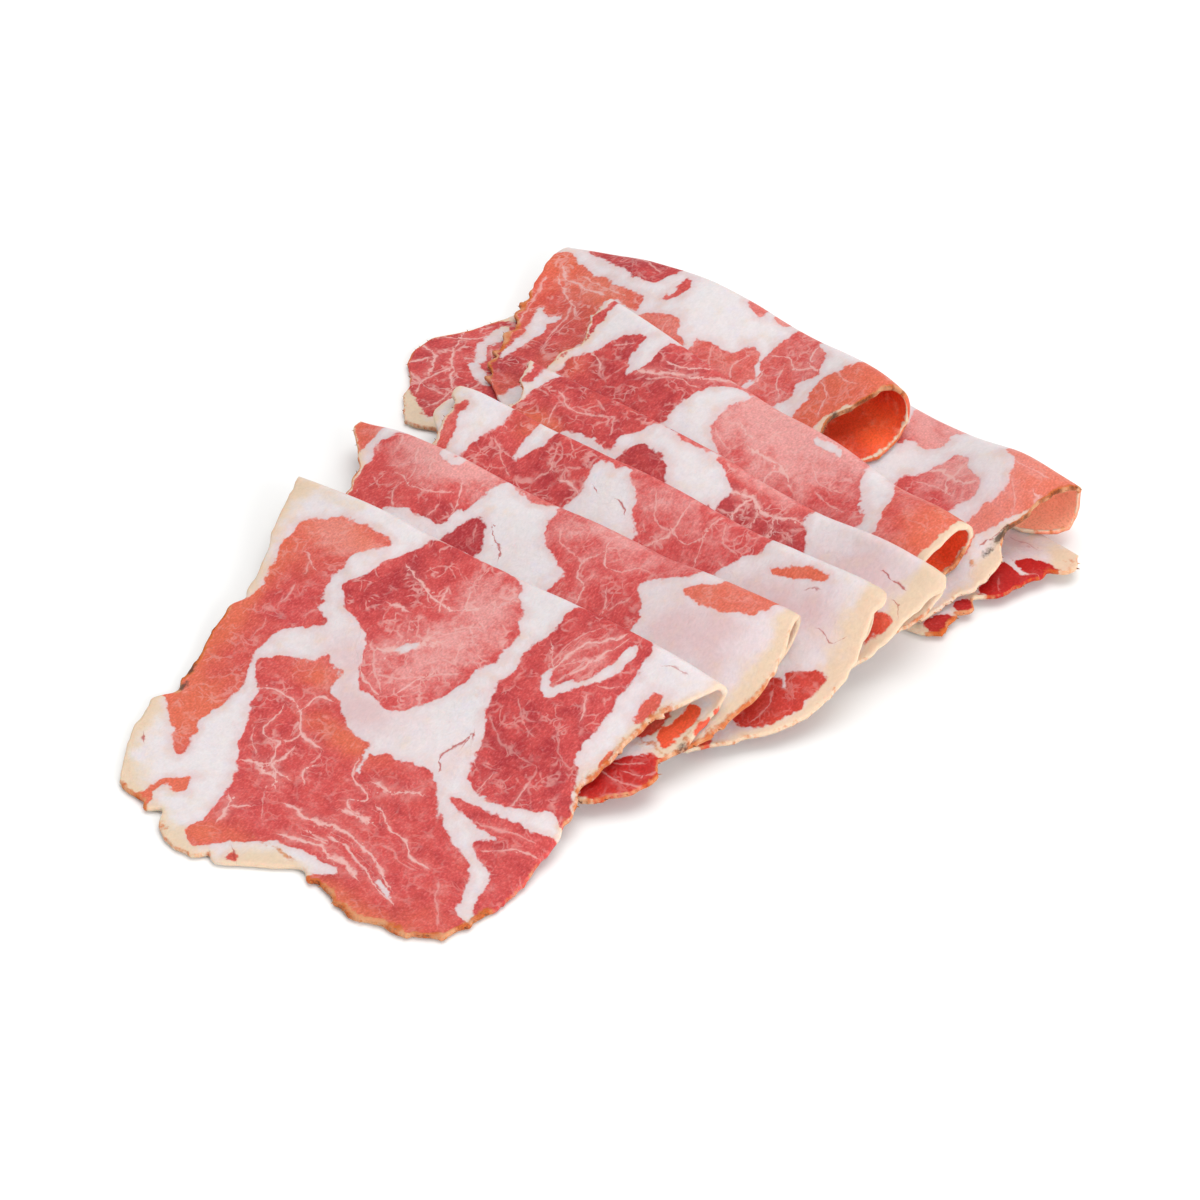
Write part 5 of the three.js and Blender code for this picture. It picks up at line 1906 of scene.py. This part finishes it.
@dataclass
class RindShreds:
    """Splinters of dried skin that stand out along the crusted rims."""

    LEAST_TEETH: ClassVar[float] = 0.45
    """A crust with finer teeth than this is too soft to fray."""

    spacing_mm: float = 1.3
    length_mm: float = 0.95
    slimness: float = 0.26
    stray: tuple[float, ...] = (0.7, 0.7, 0.35)
    smallest: tuple[float, ...] = (0.4, 0.4, 0.15)
    largest: tuple[float, ...] = (1.4, 1.1, 1.3)
    sunk_mm: float = 0.3
    seed: int = 5

    def tree(self, finish: bpy.types.Material) -> bpy.types.NodeTree:
        """Builds the node tree that sets a splinter at every step along a line.

        Args:
            finish: The splinters' material.

        Returns:
            The tree.
        """
        t = bpy.data.node_groups.new("splinters_along_rim", "GeometryNodeTree")
        for name, kind in (
            ("Geometry", "Geometry"), ("Spacing", "Float"), ("Length", "Float"), ("Seed", "Int"),
        ):
            t.interface.new_socket(name, in_out="INPUT", socket_type="NodeSocket" + kind)
        t.interface.new_socket("Geometry", in_out="OUTPUT", socket_type="NodeSocketGeometry")
        given = add(t, "NodeGroupInput").outputs
        line = add(t, "GeometryNodeMeshToCurve", {}, {"Mesh": given["Geometry"]})
        points = add(
            t, "GeometryNodeCurveToPoints", {"mode": "LENGTH"},
            {"Curve": line, "Length": given["Spacing"]},
        )
        base = add(t, MATH, TIMES, {0: given["Length"], 1: self.slimness})
        splinter = add(
            t, "GeometryNodeMeshCone", {},
            {
                "Vertices": 5, "Side Segments": 2, "Radius Bottom": base, "Radius Top": 0.0,
                "Depth": given["Length"],
            },
        )
        vector = {"data_type": "FLOAT_VECTOR"}
        away = add(t, "GeometryNodeInputNamedAttribute", vector, {"Name": "out"})
        stray = add(
            t, "FunctionNodeRandomValue", vector,
            {0: tuple(-v for v in self.stray), 1: self.stray, "Seed": given["Seed"]},
        )
        towards = add(t, "ShaderNodeVectorMath", {"operation": "ADD"}, {0: away, 1: stray})
        turn = add(t, "FunctionNodeAlignRotationToVector", {"axis": "Z"}, {"Vector": towards})
        scale = add(
            t, "FunctionNodeRandomValue", vector,
            {0: self.smallest, 1: self.largest, "Seed": given["Seed"]},
        )
        placed = add(
            t, "GeometryNodeInstanceOnPoints", {},
            {"Points": points, "Instance": splinter, "Rotation": turn, "Scale": scale},
        )
        real = add(t, "GeometryNodeRealizeInstances", {}, {"Geometry": placed})
        dressed = add(t, "GeometryNodeSetMaterial", {}, {"Geometry": real, "Material": finish})
        add(t, "NodeGroupOutput", {}, {0: dressed})
        return t

    def rim_lines(self, slices: list[Slice]) -> tuple[Array, Array, list[tuple[int, int]]]:
        """Finds the crusted stretches of every rim.

        Args:
            slices: The slices, the first one laid down first.

        Returns:
            Points in millimetres, the direction that leads away from the slice at each of them,
            and the pairs of them that lines join.
        """
        points: list[Array] = []
        outward: list[Array] = []
        pairs: list[tuple[int, int]] = []
        for number, piece in enumerate(slices):
            sheet = piece.sheet()
            along, away = sheet["along"], sheet["away"]
            upper = sheet["upper"][:, 0] > 0
            columns = along.shape[1]
            for flap, on in ((piece.over, upper), (piece.under, ~upper)):
                rows = np.flatnonzero(on)
                last, step = (rows[-1], -2) if flap is piece.over else (rows[0], 2)
                edges = {
                    LEFT: (rows, np.zeros(len(rows), int), 0, 2),
                    RIGHT: (rows, np.full(len(rows), columns - 1), 0, -2),
                    END: (np.full(columns, last), np.arange(columns), step, 0),
                }
                for crust in flap.crusts:
                    if crust.teeth < self.LEAST_TEETH:
                        continue
                    i, j, di, dj = edges[crust.side]
                    spot = along[i, j] if crust.side is END else np.abs(away[i, j])
                    keep = (spot > crust.start + 1.0) & (spot < crust.stop - 1.0)
                    i, j = i[keep], j[keep]
                    if len(i) < 3:
                        continue
                    rim, back = (
                        piece.folded(along[p, q], away[p, q], 0.0, slices[:number])
                        for p, q in ((i, j), (i + di, j + dj))
                    )
                    out = rim - back
                    length = np.linalg.norm(out, axis=1, keepdims=True)
                    outward.extend(out / length)
                    first = len(points)
                    points.extend(rim - self.sunk_mm * out / length)
                    pairs.extend((first + k, first + k + 1) for k in range(len(i) - 1))
        return np.array(points), np.array(outward), pairs

    def make(self, slices: list[Slice], finish: bpy.types.Material) -> bpy.types.Object:
        """Makes all the splinters as one mesh.

        Args:
            slices: The slices, the first one laid down first.
            finish: The splinters' material.

        Returns:
            The new object.
        """
        points, outward, pairs = self.rim_lines(slices)
        guide_mesh = bpy.data.meshes.new("rim_guide")
        guide_mesh.from_pydata([tuple(p * MM) for p in points], pairs, [])
        away = guide_mesh.attributes.new("out", "FLOAT_VECTOR", "POINT")
        away.data.foreach_set("vector", outward.astype(np.float32).ravel())
        guide = shown("rim_guide", guide_mesh)
        modifier = guide.modifiers.new("splinters", "NODES")
        modifier.node_group = self.tree(finish)
        values = {"Spacing": self.spacing_mm * MM, "Length": self.length_mm * MM, "Seed": self.seed}
        for item in modifier.node_group.interface.items_tree:
            if item.item_type == "SOCKET" and item.in_out == "INPUT" and item.name in values:
                modifier[item.identifier] = values[item.name]
        bpy.context.view_layer.update()
        graph = bpy.context.evaluated_depsgraph_get()
        mesh = bpy.data.meshes.new_from_object(guide.evaluated_get(graph))
        guide.modifiers.remove(modifier)
        bpy.data.objects.remove(guide)
        mesh.name = "rind_splinters"
        return shown("rind_splinters", mesh)


# ---- the set ----


@dataclass
class Studio:
    """A pale floor, soft light and the camera."""

    target_mm: tuple[float, float, float] = (4.5, 6.5, 0.0)
    azimuth: float = 37.0
    elevation: float = 42.0
    distance_mm: float = 616.0
    lens_mm: float = 105.0
    sky: float = 0.62
    floor_half: float = 4.0
    floor_drop: float = 0.0003

    def floor(self) -> bpy.types.Object:
        """Makes the floor, a wide plain sheet just under the slices.

        Returns:
            The floor.
        """
        mesh = bpy.data.meshes.new("floor")
        s, z = self.floor_half, -self.floor_drop
        mesh.from_pydata([(-s, -s, z), (s, -s, z), (s, s, z), (-s, s, z)], [], [(0, 1, 2, 3)])
        material = bpy.data.materials.new("matt_white_board")
        material.use_nodes = True
        shader = material.node_tree.nodes["Principled BSDF"]
        shader.inputs["Base Color"].default_value = linear("F7F7F6")
        shader.inputs["Roughness"].default_value = 0.9
        mesh.materials.append(material)
        return shown("floor", mesh)

    def lamp(self, name: str, at: tuple[float, float, float], size: float, power: float) -> None:
        """Adds one soft lamp that points at the slices.

        Args:
            name: Its name.
            at: Where it hangs, in metres.
            size: Width of its face, in metres.
            power: Its power in watts.
        """
        data = bpy.data.lights.new(name, "AREA")
        data.shape, data.size, data.energy = "DISK", size, power
        lamp = shown(name, data)
        lamp.location = at
        back = np.array(at) / np.linalg.norm(at)
        lamp.rotation_euler = (math.acos(back[2]), 0.0, math.atan2(back[0], -back[1]))

    def make(self) -> bpy.types.Object:
        """Sets up the floor, the lamps and the camera.

        Returns:
            The floor.
        """
        scene = bpy.context.scene
        scene.view_settings.view_transform = "Standard"
        world = bpy.data.worlds.new("studio")
        world.use_nodes = True
        sky = world.node_tree.nodes["Background"].inputs
        sky["Color"].default_value = (1.0, 1.0, 1.0, 1.0)
        sky["Strength"].default_value = self.sky
        scene.world = world
        self.lamp("key", (-0.1, 0.35, 1.15), 1.2, 8.4)
        self.lamp("fill", (1.2, -0.35, 0.42), 0.9, 12.0)
        camera = bpy.data.cameras.new("camera")
        camera.lens, camera.sensor_width = self.lens_mm, 36.0
        camera.clip_start, camera.clip_end = 0.01, 20.0
        made = shown("camera", camera)
        a, e = math.radians(self.azimuth), math.radians(self.elevation)
        back = (math.sin(a) * math.cos(e), -math.cos(a) * math.cos(e), math.sin(e))
        made.location = [(t + self.distance_mm * b) * MM for t, b in zip(self.target_mm, back)]
        made.rotation_euler = (math.pi / 2 - e, 0.0, a)
        scene.camera = made
        return self.floor()


def main() -> None:
    """Builds the whole scene, piece by piece."""
    logging.basicConfig(level=logging.INFO, format="%(name)s: %(message)s")
    pork, dried = CuredPork().make(), DriedShred().make()
    laid: list[Slice] = []
    order = (
        last_slice(), seventh_slice(), sixth_slice(), fifth_slice(),
        fourth_slice(), third_slice(), second_slice(), front_slice(),
    )
    for piece in order:
        made = piece.make(laid, pork)
        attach(made, "root")
        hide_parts(piece.node)
        low, high = (np.array(corner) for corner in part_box(piece.node))
        points = np.array([v.co for v in made.data.vertices])
        proud = max((low - points.min(0)).max(), (points.max(0) - high).max()) / MM
        faces = len(made.data.polygons)
        LOG.info("%s: %d faces, %.1f mm proud of its solid", made.name, faces, proud)
        laid.append(piece)
    shreds = RindShreds().make(laid, dried)
    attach(shreds, "root")
    LOG.info("%s: %d faces", shreds.name, len(shreds.data.polygons))
    Studio().make()


if __name__ == "__main__":
    main()
